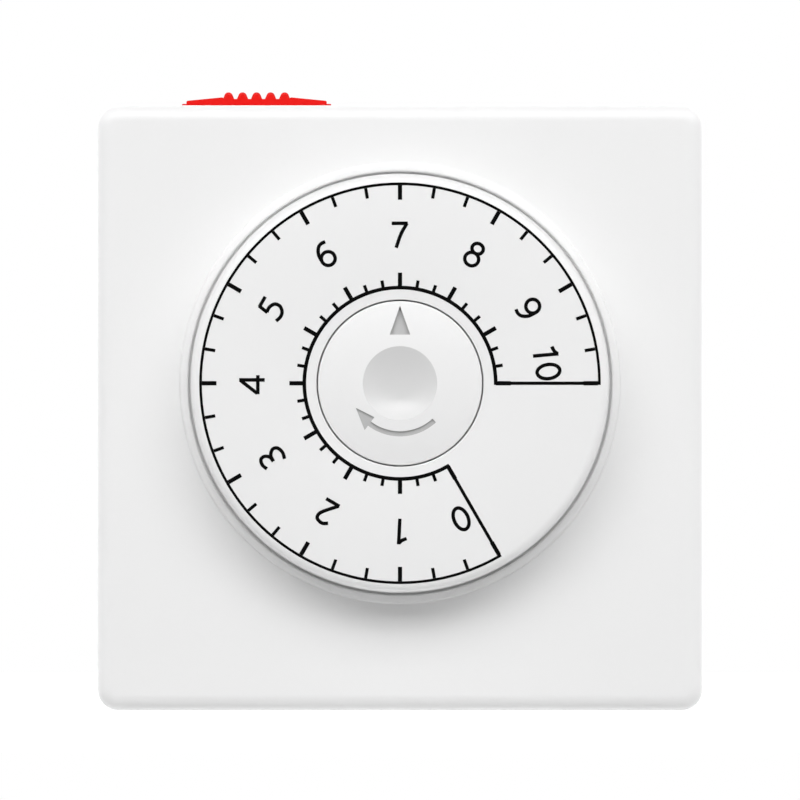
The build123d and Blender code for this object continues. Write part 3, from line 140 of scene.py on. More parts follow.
class TimerCaseSettings(bpy.types.PropertyGroup):
    """Sizes of the two case halves."""

    wall: length("Wall", "Thickness of the side and front walls", 2.0)
    back_wall: length("Back wall", "Thickness of the back wall", 2.5)
    corner: length("Corner", "Plan radius of the case's corners", 3.0)
    front_round: length("Front rounding", "Rounding of the front edge", 2.0)
    back_round: length("Back rounding", "Rounding of the back edge", 1.0)
    seam_round: length("Seam rounding", "Rounding of both halves' edge at the seam", 0.18)
    collar_in: length("Collar inside", "Inner radius of the raised collar round the dial", 30.1)
    collar_out: length("Collar outside", "Outer radius of the raised collar round the dial", 31.3)
    collar_height: length("Collar height", "How far the collar stands out of the face", 0.8)
    collar_round: length("Collar rounding", "Rounding of the collar's two edges", 0.36)
    collar_foot: length("Collar foot", "Rounding of the corner between collar and face", 0.12)
    dial_hole: length("Dial hole", "Radius of the opening behind the dial", 21.5)
    lip: length("Lip", "Thickness of the rear half's locating lip", 1.0)
    lip_reach: length("Lip reach", "How far the lip goes into the front half", 2.0)
    lip_gap: length("Lip gap", "Height of the cuts that open the lip", 3.0)
    fit: length("Fit", "Gap of a loose fit", 0.1)
    boss: length("Boss", "Radius of the bosses that the case screws bite into", 3.4)
    boss_core: length("Boss core", "Radius of the bosses' cores", 1.3)
    boss_depth: length("Boss depth", "Depth of the bosses' cores", 11.0)
    boss_rib: length("Boss rib", "Thickness of the ribs from a boss to the walls", 1.4)
    rib_gap: length("Rib gap", "How far the ribs stay clear of the rear half's lip", 1.0)
    post: length("Post", "Radius of the posts that carry the chassis", 2.7)
    post_core: length("Post core", "Radius of the posts' cores", 1.0)
    post_depth: length("Post depth", "Depth of the posts' cores", 6.2)
    peg: length("Peg", "Radius of the pegs that hold the switch base", 1.2)
    peg_head: length("Peg head", "Radius of the pegs' melted heads", 1.9)
    peg_rise: length("Peg rise", "Height of the melted heads' underside over the wall", 1.0)
    peg_cap: length("Peg cap", "Thickness of the melted heads", 0.7)
    screw_tube: length("Screw tube", "Radius of the rear half's screw tubes", 4.2)
    screw_well: length("Screw well", "Radius of the wells that take the screws' heads", 3.0)
    screw_hole: length("Screw hole", "Radius of the holes for the screws' shanks", 1.8)
    seat_depth: length("Seat depth", "How far the screws' seats lie under the back", 12.0)
    stand: length("Stand", "Radius of the stands for the pin clamp's screws", 3.0)
    stand_core: length("Stand core", "Radius of the stands' cores", 1.0)
    stand_skin: length("Stand skin", "Plastic left between the stands' cores and the back", 1.6)
    stop_wide: length("Stop width", "Width of the stops that hold the outlet block", 2.0)
    stop_tall: length("Stop height", "Height of those stops", 6.0)
    blade_slot_long: length("Blade slot length", "Length of the slots that the blades come through", 6.6)
    blade_slot_wide: length("Blade slot width", "Width of those slots", 1.8)
    blade_slot_deep: length("Blade slot depth", "Depth of those slots", 3.0)
    outlet_half: length("Outlet half", "Half the width of the opening for the outlet", 15.05)
    outlet_front: length("Outlet front", "Depth where the outlet's opening starts", -31.05)
    outlet_back: length("Outlet back", "Depth where the outlet's opening ends", -4.95)


class TimerDialSettings(bpy.types.PropertyGroup):
    """Sizes of the dial and its print."""

    skin: length("Skin", "Thickness of the dial's face and rim", 2.0)
    draft: length("Draft", "How much the rim widens towards the case", 0.35)
    edge_round: length("Edge rounding", "Rounding of the dial's front edge", 1.1)
    mouth_round: length("Mouth rounding", "Rounding of the recess's edge", 0.12)
    rim_round: length("Rim rounding", "Rounding of the rim's end", 0.2)
    inner_round: length("Inner rounding", "Rounding of the corners inside the cup", 0.5)
    lift: length("Lift", "How far the rim's end stands off the face of the case", 0.3)
    recess: length("Recess", "Radius of the recess for the hub", 11.85)
    recess_depth: length("Recess depth", "Depth of the recess for the hub", 2.8)
    recess_floor: length("Recess floor", "Thickness of the recess's floor", 1.6)
    tube: length("Tube", "Outer radius of the tube to the gear ring", 9.0)
    bore: length("Bore", "Radius of the bore on the stem", 5.05)
    key: length("Key", "Width of the keys that drive the gear ring", 2.0)
    ink: length("Ink", "How far the print stands off the dial's face", 0.03)
    outer_ring: length("Outer ring", "Radius of the outer printed ring", 28.3)
    outer_line: length("Outer line", "Width of the outer printed ring", 0.38)
    inner_ring: length("Inner ring", "Radius of the inner printed ring", 13.58)
    inner_line: length("Inner line", "Width of the inner printed ring", 0.52)
    end_line: length("End line", "Width of the radial lines at both ends of the scale", 0.46)
    digit_ring: length("Digit ring", "Radius of the middle of the digits", 21.1)
    digit_line: length("Digit line", "Stroke width of the digits", 0.5)
    digit_pitch: length("Digit pitch", "Distance between the two digits of a number", 2.5)
    outer_long: length("Long outer marks", "Radius where the long outer marks start", 26.05)
    outer_short: length("Short outer marks", "Radius where the short outer marks start", 26.62)
    outer_end: length("Outer marks' end", "Radius where the outer marks end", 28.1)
    inner_long: length("Long inner marks", "Radius where the long inner marks end", 15.7)
    inner_short: length("Short inner marks", "Radius where the short inner marks end", 14.8)
    long_line: length("Long line", "Width of the long marks", 0.6)
    short_line: length("Short line", "Width of the short marks", 0.46)
    first_angle: angle("First mark", "Clock angle of the scale's zero", 150.0)
    first_shift: angle("First shift", "How far the first number moves in from its line", 5.75)
    last_shift: angle("Last shift", "How far the last number moves in from its line", 7.9)
    mark_step: angle("Mark step", "Angle from one mark to the next", 10.0)
    marks: IntProperty(name="Marks", description="Number of marks on the scale", default=31, min=2)
    marks_an_hour: IntProperty(name="Marks an hour", description="Every such mark is long", default=3, min=1)


class TimerHubSettings(bpy.types.PropertyGroup):
    """Sizes of the fixed hub and its sunk marks."""

    crown_power: exponent("Crown power", "2 for an even dome, more for a flatter one", 2.4)
    edge_drop: length("Edge drop", "How far the hub's edge lies under the dial's face", 0.15)
    edge_round: length("Edge rounding", "Rounding of the hub's edge", 0.15)
    dish: length("Dish", "Radius of the finger dish", 5.27)
    dish_depth: length("Dish depth", "Depth of the finger dish", 1.5)
    dish_low: length("Dish low", "How far the dish's deepest point lies under the hub's middle", 2.2)
    dish_power: exponent("Dish power", "1 for a cone, 2 for a bowl", 1.65)
    triangle_depth: length("Triangle depth", "Depth of the sunk triangle", 0.55)
    arrow_depth: length("Arrow depth", "Depth of the sunk arrow", 0.22)
    triangle_half: length("Triangle half", "Half the width of the triangle", 1.45)
    triangle_low: length("Triangle foot", "Height of the triangle's foot over the hub's middle", 6.9)
    triangle_high: length("Triangle tip", "Height of the triangle's tip over the hub's middle", 11.0)
    arrow_ring: length("Arrow ring", "Radius of the arrow's middle line", 7.18)
    arrow_line: length("Arrow line", "Width of the arrow's shaft", 0.72)
    arrow_head: length("Arrow head", "Width of the arrow's head", 2.3)
    arrow_tail: angle("Arrow tail", "Clock angle of the arrow's tail", 137.5)
    arrow_root: angle("Arrow root", "Clock angle where the head starts", 217.0)
    arrow_tip: angle("Arrow tip", "Clock angle of the arrow's tip", 241.0)


class TimerSliderSettings(bpy.types.PropertyGroup):
    """Sizes of the red slide switch."""

    ridges: IntProperty(name="Ridges", description="Number of grip ridges", default=5, min=1)
    pitch: length("Pitch", "Distance from ridge to ridge", 2.0)
    ridge_top: length("Ridge top", "Half the width of a ridge's top, before its rounding", 0.42)
    ridge_foot: length("Ridge foot", "Half the width of a ridge at its foot", 0.8)
    foot_ease: length("Foot ease", "Size of the chamfer round the slider's foot", 0.2)
    flange: length("Flange", "Height of the thin flange on the case", 0.35)
    end_height: length("End height", "Height of the slider's ends", 0.78)
    shoulder: length("Shoulder", "Height of the slider beside the ridges", 1.3)
    valley: length("Valley", "Height of the floor between the ridges", 1.05)
    corner: length("Corner", "Plan radius of the slider's corners", 1.2)
    lift: length("Lift", "Gap between the slider's foot and the case", 0.05)
    step: length("Step", "How far the flange stands out at the slider's ends", 0.65)
    bay: length("Bay", "How far the floor reaches past the outer ridges' middles", 0.7)
    flange_round: length("Flange rounding", "Rounding of the flange's edges", 0.1)
    end_round: length("End rounding", "Rounding of the slider's ends", 0.2)
    shoulder_round: length("Shoulder rounding", "Rounding of the edges beside the ridges", 0.25)
    ridge_ease: length("Ridge easing", "Rounding of the ridges' ends", 0.3)
    edge_ease: length("Edge easing", "Rounding of every edge that is still sharp", 0.08)
    neck_left: length("Neck left", "Left side of the neck through the case", -24.7)
    neck_right: length("Neck right", "Right side of the neck", -16.7)
    neck_front: length("Neck front", "Front of the neck", -22.5)
    neck_back: length("Neck back", "Back of the neck", -17.2)
    travel: length("Travel", "How far the slider moves", 4.5)


class TimerFinishSettings(bpy.types.PropertyGroup):
    """Colour of each finish, under the finish's own name."""

    white_abs: colour("White ABS", "Case and outlet face", "F0F0F0")
    dial_abs: colour("Dial ABS", "Dial and hub", "F0F0F0")
    # This grey is painted shade: it darkens the hollow of the hub's finger dish
    stoned_abs: colour("Stoned ABS", "Floor of the hub's finger dish", "DCDCDC")
    # This grey is painted shade on the floors of the sunk triangle and arrow
    etched_abs: colour("Etched ABS", "Floor of the sunk triangle and arrow", "BEBEBE")
    pad_print_ink: colour("Pad print", "Print on the dial", "050505")
    red_abs: colour("Red ABS", "Slide switch", "E00C04")
    natural_acetal: colour("Acetal", "Gears and stem", "DAD6CB")
    black_nylon: colour("Nylon", "Carriers inside", "2A2A2C")
    zinc_plate: colour("Zinc plate", "Screws, chassis and motor", "B9BDC2")
    sheet_brass: colour("Sheet brass", "Contacts", "D9B36A")
    drawn_brass: colour("Drawn brass", "Plug pins", "E0BE78")
    brown_pvc: colour("Brown PVC", "Line wires", "6B3A1E")
    blue_pvc: colour("Blue PVC", "Neutral wire", "2A62B8")
    green_pvc: colour("Green PVC", "Earth wire", "4E8A2C")
    white_pvc: colour("White PVC", "Thin wires of the motor", "E4E2DC")


class TimerStageSettings(bpy.types.PropertyGroup):
    """Camera, lights and floor."""

    lens: FloatProperty(
        name="Lens", description="Focal length", default=1500.0, min=50.0,
        subtype="DISTANCE_CAMERA", unit="CAMERA",
    )
    view_width: length("View width", "Width of the view at the front of the case", 113.7)
    view_x: length("View middle", "Place of the view's middle along X", 0.0)
    view_z: length("View height", "Height of the level camera", -2.38)
    floor: length("Floor", "Half the width of the floor", 600.0)
    key: watts("Key", "Wide light over the camera", 11.0)
    high: watts("High", "Wide light above the key", 9.6)
    side: watts("Side", "Light on either side", 9.5)
    back: watts("Back", "Light behind", 11.5)
    under: watts("Under", "Light below", 7.5)


# Node helpers


def add_node(tree, kind, values=(), links=(), **settings):
    """Add a node with its settings, its input values and its links, and return it.

    A link comes from a socket, or from a node, which stands for its first output.
    """
    node = tree.nodes.new(kind)
    for name, value in settings.items():
        setattr(node, name, value)
    for socket, value in dict(values).items():
        node.inputs[socket].default_value = value
    for socket, source in dict(links).items():
        if isinstance(source, bpy.types.Node):
            source = source.outputs[0]
        tree.links.new(source, node.inputs[socket])
    return node


def new_shading(block):
    """Empty node tree of a new material or world."""
    block.use_nodes = True
    block.node_tree.nodes.clear()
    return block.node_tree


MIX_A, MIX_B, MIX_OUT = 6, 7, 2     # colour sockets of the Mix node
NOISE_LOW, NOISE_HIGH = 0.3, 0.7    # where most of a noise's values lie


def surface(name, shade, patch, gloss, grain, relief, sockets):
    """Make a finish from its colour and two noises, or return the one that has this name.

    The broad noise, with patches of size patch, darkens the colour by up to shade. The fine one, of
    size grain, moves the roughness between the two values of gloss and lifts the surface by relief.
    These sizes are in millimetres. What sockets holds is set on the shader as it is.
    """
    if name in bpy.data.materials:
        return bpy.data.materials[name]
    rgb = getattr(bpy.context.scene.timer_finish, name)
    material = bpy.data.materials.new(name)
    tree = new_shading(material)
    place = add_node(tree, "ShaderNodeTexCoord").outputs["Object"]
    broad, fine = (
        add_node(tree, "ShaderNodeTexNoise", {"Scale": 1 / (size * MM), "Detail": 2.0}, {"Vector": place})
        for size in (patch, grain)
    )
    tint = add_node(
        tree, "ShaderNodeMix", {MIX_A: (*[level * (1 - shade) for level in rgb], 1), MIX_B: (*rgb, 1)},
        {"Factor": broad}, data_type="RGBA",
    )
    spread = {"From Min": NOISE_LOW, "From Max": NOISE_HIGH, "To Min": gloss[0], "To Max": gloss[1]}
    rough = add_node(tree, "ShaderNodeMapRange", spread, {"Value": fine})
    bump = add_node(tree, "ShaderNodeBump", {"Strength": 1.0, "Distance": relief * MM}, {"Height": fine})
    shader = add_node(
        tree, "ShaderNodeBsdfPrincipled", sockets,
        {"Base Color": tint.outputs[MIX_OUT], "Roughness": rough, "Normal": bump},
    )
    add_node(tree, "ShaderNodeOutputMaterial", links={"Surface": shader})
    return material


# Finishes, each named for the real material, and the two greyed for the hub's hollows also for their painted
# shade
PLASTIC = {"IOR": 1.53}
METAL = {"Metallic": 1.0}


def white_abs():
    """ABS moulded in a spark-eroded tool: an even white whose fine grain softens every highlight."""
    return surface("white_abs", 0.01, 12, (0.38, 0.48), 0.22, 0.0025, PLASTIC)


def dial_abs():
    """ABS from a finer tool than the case's: the same white, a little smoother to the eye."""
    return surface("dial_abs", 0.01, 9, (0.34, 0.42), 0.18, 0.0015, PLASTIC)


def stoned_abs():
    """The same ABS off a stoned tool face, smooth for a finger, its grey painted shade in the dish's hollow.
    """
    return surface("stoned_abs", 0.01, 4, (0.32, 0.42), 0.2, 0.001, PLASTIC)


def etched_abs():
    """The same ABS off a coarsely etched tool face, dull, its grey painted shade on the sunk marks' floors.
    """
    return surface("etched_abs", 0.03, 1.5, (0.6, 0.75), 0.12, 0.003, PLASTIC)


def pad_print_ink():
    """Pad-printed ink: a dense matt black film, uneven where the pad lifted, with hardly a sheen."""
    sockets = {"IOR": 1.5, "Specular IOR Level": 0.03}
    return surface("pad_print_ink", 0.4, 0.8, (0.6, 0.75), 0.12, 0.001, sockets)


def red_abs():
    """Red ABS, moulded smooth: a deep, even red with the slight wear of a part that fingers push."""
    return surface("red_abs", 0.06, 3, (0.3, 0.42), 0.2, 0.002, {**PLASTIC, "Specular IOR Level": 0.2})


def natural_acetal():
    """Acetal without pigment: a milky, waxy white that lets a little light in."""
    sockets = {"IOR": 1.48, "Subsurface Weight": 0.1, "Subsurface Scale": 1 * MM}
    return surface("natural_acetal", 0.04, 4, (0.35, 0.5), 0.3, 0.002, sockets)


def black_nylon():
    """Glass-filled nylon: near black, with the grey cloudiness that the fibres leave on the skin."""
    return surface("black_nylon", 0.35, 1.2, (0.42, 0.62), 0.25, 0.006, PLASTIC)


def zinc_plate():
    """Steel with bright zinc plating: bluish grey, clouded in patches, with a soft lustre."""
    return surface("zinc_plate", 0.18, 1.5, (0.22, 0.4), 0.3, 0.003, METAL)


def sheet_brass():
    """Rolled and stamped brass: warm yellow, dulled a little by handling."""
    return surface("sheet_brass", 0.15, 2, (0.2, 0.34), 0.25, 0.002, METAL)


def drawn_brass():
    """Drawn brass of the plug pins: bright, with faint wear from sliding into sockets."""
    return surface("drawn_brass", 0.12, 2.5, (0.14, 0.28), 0.2, 0.0015, METAL)


def insulation(name):
    """Soft PVC drawn over a wire: even colour with a waxy sheen."""
    return surface(name, 0.08, 2, (0.4, 0.55), 0.4, 0.003, PLASTIC)


def brown_pvc():
    """PVC of the line wires."""
    return insulation("brown_pvc")


def blue_pvc():
    """PVC of the neutral wire."""
    return insulation("blue_pvc")


def green_pvc():
    """PVC of the earth wire."""
    return insulation("green_pvc")


def white_pvc():
    """PVC of the motor's thin wires."""
    return insulation("white_pvc")


# Finish of each material slot of the record. Wiring colours are brown for line, blue for
# neutral and green with no stripe for earth, as thin PVC wires inside appliances are.
SLOT_FINISH = {
    "case_plastic": white_abs,
    "dial_plastic": dial_abs,
    "slider_plastic": red_abs,
    "gear_plastic": natural_acetal,
    "inner_plastic": black_nylon,
    "zinc_steel": zinc_plate,
    "contact_brass": sheet_brass,
    "pin_brass": drawn_brass,
    "lead_brown": brown_pvc,
    "lead_blue": blue_pvc,
    "lead_green": green_pvc,
    "lead_white": white_pvc,
}


# Mesh helpers


def rounded(path, closed=True, steps=6):
    """Outline through (u, v, radius) corners with every corner rounded by its own radius."""
    count = len(path)
    outline = []
    for place, (u, v, radius) in enumerate(path):
        corner = Vector((u, v))
        if radius == 0 or (not closed and place in (0, count - 1)):
            outline.append(corner)
            continue
        back = (Vector(path[place - 1][:2]) - corner).normalized()
        ahead = (Vector(path[(place + 1) % count][:2]) - corner).normalized()
        half = back.angle(ahead) / 2
        centre = corner + (back + ahead).normalized() * (radius / math.sin(half))
        start = corner + back * (radius / math.tan(half)) - centre
        end = corner + ahead * (radius / math.tan(half)) - centre
        sweep = math.pi - 2 * half
        for step in range(steps + 1):
            part = step / steps
            arm = start * math.sin((1 - part) * sweep) + end * math.sin(part * sweep)
            outline.append(centre + arm / math.sin(sweep))
    return outline


def new_piece(name, data):
    """New object in the scene that holds a mesh, a curve, a light or a camera."""
    piece = bpy.data.objects.new(name, data)
    bpy.context.scene.collection.objects.link(piece)
    return piece


def solid(name, corners, faces, material):
    """Closed mesh piece with its normals outward."""
    mesh = bpy.data.meshes.new(name)
    mesh.from_pydata([tuple(corner) for corner in corners], [], faces)
    form = bmesh.new()
    form.from_mesh(mesh)
    bmesh.ops.remove_doubles(form, verts=form.verts, dist=0.0005 * MM)
    bmesh.ops.recalc_face_normals(form, faces=form.faces)
    form.to_mesh(mesh)
    form.free()
    mesh.materials.append(material)
    return new_piece(name, mesh)


def shell(name, loops, material, capped=False):
    """Closed skin through loops with equal counts, capped at both ends or joined into a ring."""
    count = len(loops[0])
    corners = [point for loop in loops for point in loop]
    faces = []
    for row in range(len(loops) - 1 if capped else len(loops)):
        here = row * count
        there = (row + 1) % len(loops) * count
        for place in range(count):
            after = (place + 1) % count
            faces.append((here + place, here + after, there + after, there + place))
    if capped:
        faces.append(tuple(range(count)))
        faces.append(tuple(range(len(corners) - count, len(corners))))
    return solid(name, corners, faces, material)


def lathe(outline, steps=TURNED, centre=(0, 0)):
    """Loops of points for an outline of (radius, depth) turned about an axis along Y."""
    turns = [2 * math.pi * step / steps for step in range(steps)]
    ways = [(math.cos(turn), math.sin(turn)) for turn in turns]
    return [
        [Vector((centre[0] + radius * across, depth, centre[1] + radius * up)) for across, up in ways]
        for radius, depth in outline
    ]


def prism(name, outline, near, far, material):
    """Closed block from an outline of (x, z) points between two depths."""
    loops = [[Vector((x, depth, z)) for x, z in outline] for depth in (near, far)]
    return shell(name, loops, material, capped=True)


def block(low, high, material):
    """Box between two corners."""
    outline = [(low[0], low[2]), (high[0], low[2]), (high[0], high[2]), (low[0], high[2])]
    return prism("block", outline, low[1], high[1], material)


def rods(places, radius, near, far, material, steps=48):
    """Round bars along Y, one at each (x, z)."""
    outline = [(radius, near), (radius, far)]
    return [shell("rod", lathe(outline, steps, place), material, capped=True) for place in places]


def settle(piece):
    """Turn the result of a piece's modifiers into its plain mesh."""
    bpy.context.view_layer.update()
    graph = bpy.context.evaluated_depsgraph_get()
    mesh = bpy.data.meshes.new_from_object(piece.evaluated_get(graph))
    piece.modifiers.clear()
    piece.data = mesh
    return piece


def join(pieces):
    """Make one piece of several."""
    form = bmesh.new()
    for piece in pieces:
        form.from_mesh(piece.data)
    form.to_mesh(pieces[0].data)
    form.free()
    for piece in pieces[1:]:
        bpy.data.objects.remove(piece)
    return pieces[0]


def combine(piece, operation, tools):
    """Join tools onto a piece or cut them out of it, and throw the tools away."""
    tool = join(tools)
    modifier = piece.modifiers.new("combine", "BOOLEAN")
    modifier.operation = operation
    modifier.solver = "EXACT"
    modifier.use_self = True
    modifier.object = tool
    modifier.material_mode = "TRANSFER"
    settle(piece)
    bpy.data.objects.remove(tool)
    return piece


def smooth(piece, limit=32):
    """Shade smooth, with edges sharper than the limit in degrees kept sharp."""
    piece.data.shade_smooth()
    piece.data.set_sharp_from_angle(angle=math.radians(limit))
    return piece


def soften(piece, width, limit=50):
    """Round off the edges of a piece that are sharper than the limit in degrees."""
    modifier = piece.modifiers.new("soften", "BEVEL")
    modifier.width = width
    modifier.segments = 2
    modifier.limit_method = "ANGLE"
    modifier.angle_limit = math.radians(limit)
    return settle(piece)


def clock(radius, turn):
    """(x, z) of a point at a clock angle in radians."""
    return Vector((radius * math.sin(turn), radius * math.cos(turn)))


def arc(radius, start, end, steps=90):
    """Points on an arc between two clock angles in radians."""
    return [clock(radius, start + (end - start) * step / steps) for step in range(steps + 1)]


# Case


def square_loop(half, corner, depth, side=48, bend=8):
    """Points of a rounded square round the middle of the case, as many for every size."""
    straight = half - corner
    quarter = [(half, (2 * step / side - 1) * straight) for step in range(side)]
    for step in range(bend):
        sweep = step / bend * math.pi / 2
        quarter.append((straight + corner * math.cos(sweep), straight + corner * math.sin(sweep)))
    turns = [Matrix.Rotation(turn * math.pi / 2, 2) for turn in range(4)]
    points = [turn @ Vector(point) for turn in turns for point in quarter]
    return [Vector((point.x, depth, point.y + CASE_MID_Z)) for point in points]


def ring_loop(radius, depth):
    """Points of a circle round the dial's axis that lie on the way to a square loop's points."""
    loop = []
    for point in square_loop(CASE_HALF, bpy.context.scene.timer_case.corner, depth):
        out = Vector((point.x, 0, point.z)).normalized()
        loop.append(out * radius + Vector((0, depth, 0)))
    return loop


def screw_places():
    """(x, z) of the four case screws, read from the CAD group."""
    head = (SCREW_HIGH.x - SCREW_LOW.x) / 2 - CASE_SCREW_X * MM
    return [
        (x, z)
        for x in (SCREW_LOW.x + head, SCREW_HIGH.x - head)
        for z in (SCREW_LOW.z + head, SCREW_HIGH.z - head)
    ]


def placed(points):
    """Points given in millimetres, in metres."""
    return [(x * MM, z * MM) for x, z in points]


def slider_slot(plastic):
    """Cutter for the slot that the slider's neck travels in."""
    sizes = bpy.context.scene.timer_slider
    tight, loose, deep = 0.05 * MM, 0.1 * MM, 4 * MM
    low = (sizes.neck_left - tight, sizes.neck_front - loose, CASE_HIGH.z - deep)
    high = (sizes.neck_right + sizes.travel + loose, CASE_HIGH.y + PAST, CASE_HIGH.z + PAST)
    return block(low, high, plastic)


def outlet_cut(sizes, near, far, plastic):
    """Cutter for the outlet's opening in the bottom wall, between two depths."""
    loose = 0.05 * MM
    low = (-sizes.outlet_half, near, CASE_LOW.z - PAST)
    high = (sizes.outlet_half, far, CASE_LOW.z + sizes.wall + loose)
    return block(low, high, plastic)


class TIMER_OT_case_front(bpy.types.Operator):
    """Front half of the case: rounded shell with the collar, the slot and the opening of the outlet"""

    bl_idname = "timer.case_front"
    bl_label = "Case front"

    def execute(self, context):
        sizes = context.scene.timer_case
        seam = CASE_HIGH.y
        face = CASE_LOW.y + sizes.collar_height
        inside = face + sizes.wall
        outer = rounded([
            (sizes.wall, seam, 0), (0, seam, sizes.seam_round), (0, face, sizes.front_round),
            (sizes.front_round + SUPPORT, face, 0),
        ], closed=False)
        collar_top = face - sizes.collar_height
        collar = rounded([
            (sizes.collar_out + SUPPORT, face, 0), (sizes.collar_out, face, sizes.collar_foot),
            (sizes.collar_out, collar_top, sizes.collar_round),
            (sizes.collar_in, collar_top, sizes.collar_round),
            (sizes.collar_in, face, 0), (sizes.dial_hole, face, 0), (sizes.dial_hole, inside, 0),
        ], closed=False)
        loops = [square_loop(CASE_HALF - sizes.wall, sizes.corner - sizes.wall / 2, seam)]
        loops += [square_loop(CASE_HALF - inset, sizes.corner - inset, depth) for inset, depth in outer[1:]]
        loops += [ring_loop(radius, depth) for radius, depth in collar]
        loops.append(square_loop(CASE_HALF - sizes.wall, sizes.corner - sizes.wall / 2, inside))
        plastic = white_abs()
        case = shell("case_front", loops, plastic)

        root = inside - sizes.wall / 2
        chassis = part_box("chassis_plate")[0].y
        screws, posts, pegs = screw_places(), placed(CHASSIS_POSTS), placed(SWITCH_PEGS)
        peg_foot = inside + sizes.peg_rise
        grown = rods(screws, sizes.boss, seam, root, plastic)
        grown += rods(posts, sizes.post, chassis, root, plastic)
        grown += rods(pegs, sizes.peg, peg_foot + sizes.peg_cap / 2, root, plastic)
        grown += rods(pegs, sizes.peg_head, peg_foot + sizes.peg_cap, peg_foot, plastic)
        grown += self.ribs(sizes, screws, seam - sizes.lip_reach - sizes.rib_gap, root, plastic)
        combine(case, "UNION", grown)
        cut = rods(screws, sizes.boss_core, seam - sizes.boss_depth, seam + PAST, plastic)
        cut += rods(posts, sizes.post_core, chassis - sizes.post_depth, chassis + PAST, plastic)
        cut += [slider_slot(plastic), outlet_cut(sizes, sizes.outlet_front, seam + PAST, plastic)]
        combine(case, "DIFFERENCE", cut)
        smooth(case)
        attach(case, "case")
        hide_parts("front_cover")
        return {"FINISHED"}

    @staticmethod
    def ribs(sizes, screws, near, far, plastic):
        """Ribs that tie each screw boss to the two walls beside it."""
        half = sizes.boss_rib / 2
        ribs = []
        for x, z in screws:
            wall_x = math.copysign(CASE_HALF - sizes.wall / 2, x)
            wall_z = CASE_MID_Z + math.copysign(CASE_HALF - sizes.wall / 2, z - CASE_MID_Z)
            ribs.append(block((min(x, wall_x), near, z - half), (max(x, wall_x), far, z + half), plastic))
            ribs.append(block((x - half, near, min(z, wall_z)), (x + half, far, max(z, wall_z)), plastic))
        return ribs


class TIMER_OT_case_back(bpy.types.Operator):
    """Rear half of the case: rounded shell with its lip, screw wells and the holes of the plug pins"""

    bl_idname = "timer.case_back"
    bl_label = "Case back"

    def execute(self, context):
        sizes = context.scene.timer_case
        seam = CASE_HIGH.y
        floor = BACK_HIGH.y - sizes.back_wall
        lip_out = sizes.wall + sizes.fit
        inner = [
            (sizes.wall + SUPPORT, floor), (sizes.wall, floor), (sizes.wall, seam + sizes.lip_reach),
            (lip_out + sizes.lip, seam + sizes.lip_reach), (lip_out + sizes.lip, seam - sizes.lip_reach),
            (lip_out, seam - sizes.lip_reach), (lip_out, seam),
        ]
        outer = rounded([
            (lip_out, seam, 0), (0, seam, sizes.seam_round), (0, BACK_HIGH.y, sizes.back_round),
            (sizes.back_round + SUPPORT, BACK_HIGH.y, 0),
        ], closed=False)
        loops = [square_loop(CASE_HALF - inset, sizes.corner - inset / 2, depth) for inset, depth in inner]
        loops += [square_loop(CASE_HALF - inset, sizes.corner - inset, depth) for inset, depth in outer[1:]]
        plastic = white_abs()
        case = shell("case_back", loops, plastic, capped=True)

        root = floor + sizes.back_wall / 2
        screws, stands = screw_places(), placed(CLAMP_STANDS)
        stand_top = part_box("pin_clamp")[1].y
        seat = BACK_HIGH.y - sizes.seat_depth
        grown = rods(screws, sizes.screw_tube, seam, root, plastic)
        grown += rods(stands, sizes.stand, stand_top, root, plastic)
        wide, tall = sizes.stop_wide / 2, sizes.stop_tall / 2
        grown += [
            block((x - wide, stand_top, z - tall), (x + wide, root, z + tall), plastic)
            for x, z in placed(OUTLET_STOPS)
        ]
        combine(case, "UNION", grown)
        cut = rods(screws, sizes.screw_well, seat, BACK_HIGH.y + PAST, plastic)
        cut += rods(screws, sizes.screw_hole, seam - PAST, seat + PAST, plastic)
        cut += rods(stands, sizes.stand_core, stand_top - PAST, BACK_HIGH.y - sizes.stand_skin, plastic)
        cut.append(outlet_cut(sizes, seam - sizes.lip_reach - PAST, sizes.outlet_back, plastic))
        cut.append(self.lip_gap(sizes, SLIDER_GAP, CASE_HIGH.z - sizes.wall - sizes.lip_gap, plastic))
        cut.append(self.lip_gap(sizes, OUTLET_GAP, CASE_LOW.z + sizes.wall, plastic))
        combine(case, "DIFFERENCE", cut + self.pin_holes(sizes, plastic))
        smooth(case)
        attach(case, "case")
        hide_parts("rear_cover")
        return {"FINISHED"}

    @staticmethod
    def lip_gap(sizes, across, low, plastic):
        """Cutter that opens the lip where the slider or the outlet passes it."""
        near, far = CASE_HIGH.y - sizes.lip_reach - PAST, CASE_HIGH.y + sizes.lip_reach
        left, right = across
        return block((left * MM, near, low), (right * MM, far, low + sizes.lip_gap), plastic)

    @staticmethod
    def pin_holes(sizes, plastic):
        """Cutters for the slots that the three blades come through."""
        cutters = []
        for node, degrees in PIN_TURNS.items():
            low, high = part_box(node)
            middle = Vector(((low.x + high.x) / 2, (low.z + high.z) / 2))
            along = clock(sizes.blade_slot_long / 2, math.radians(90 - degrees))
            across = clock(sizes.blade_slot_wide / 2, math.radians(-degrees))
            outline = [middle + along * a + across * b for a, b in ((-1, -1), (1, -1), (1, 1), (-1, 1))]
            near, far = BACK_HIGH.y - sizes.blade_slot_deep, BACK_HIGH.y + PAST
            cutters.append(prism("slot", outline, near, far, plastic))
        return cutters


# Dial


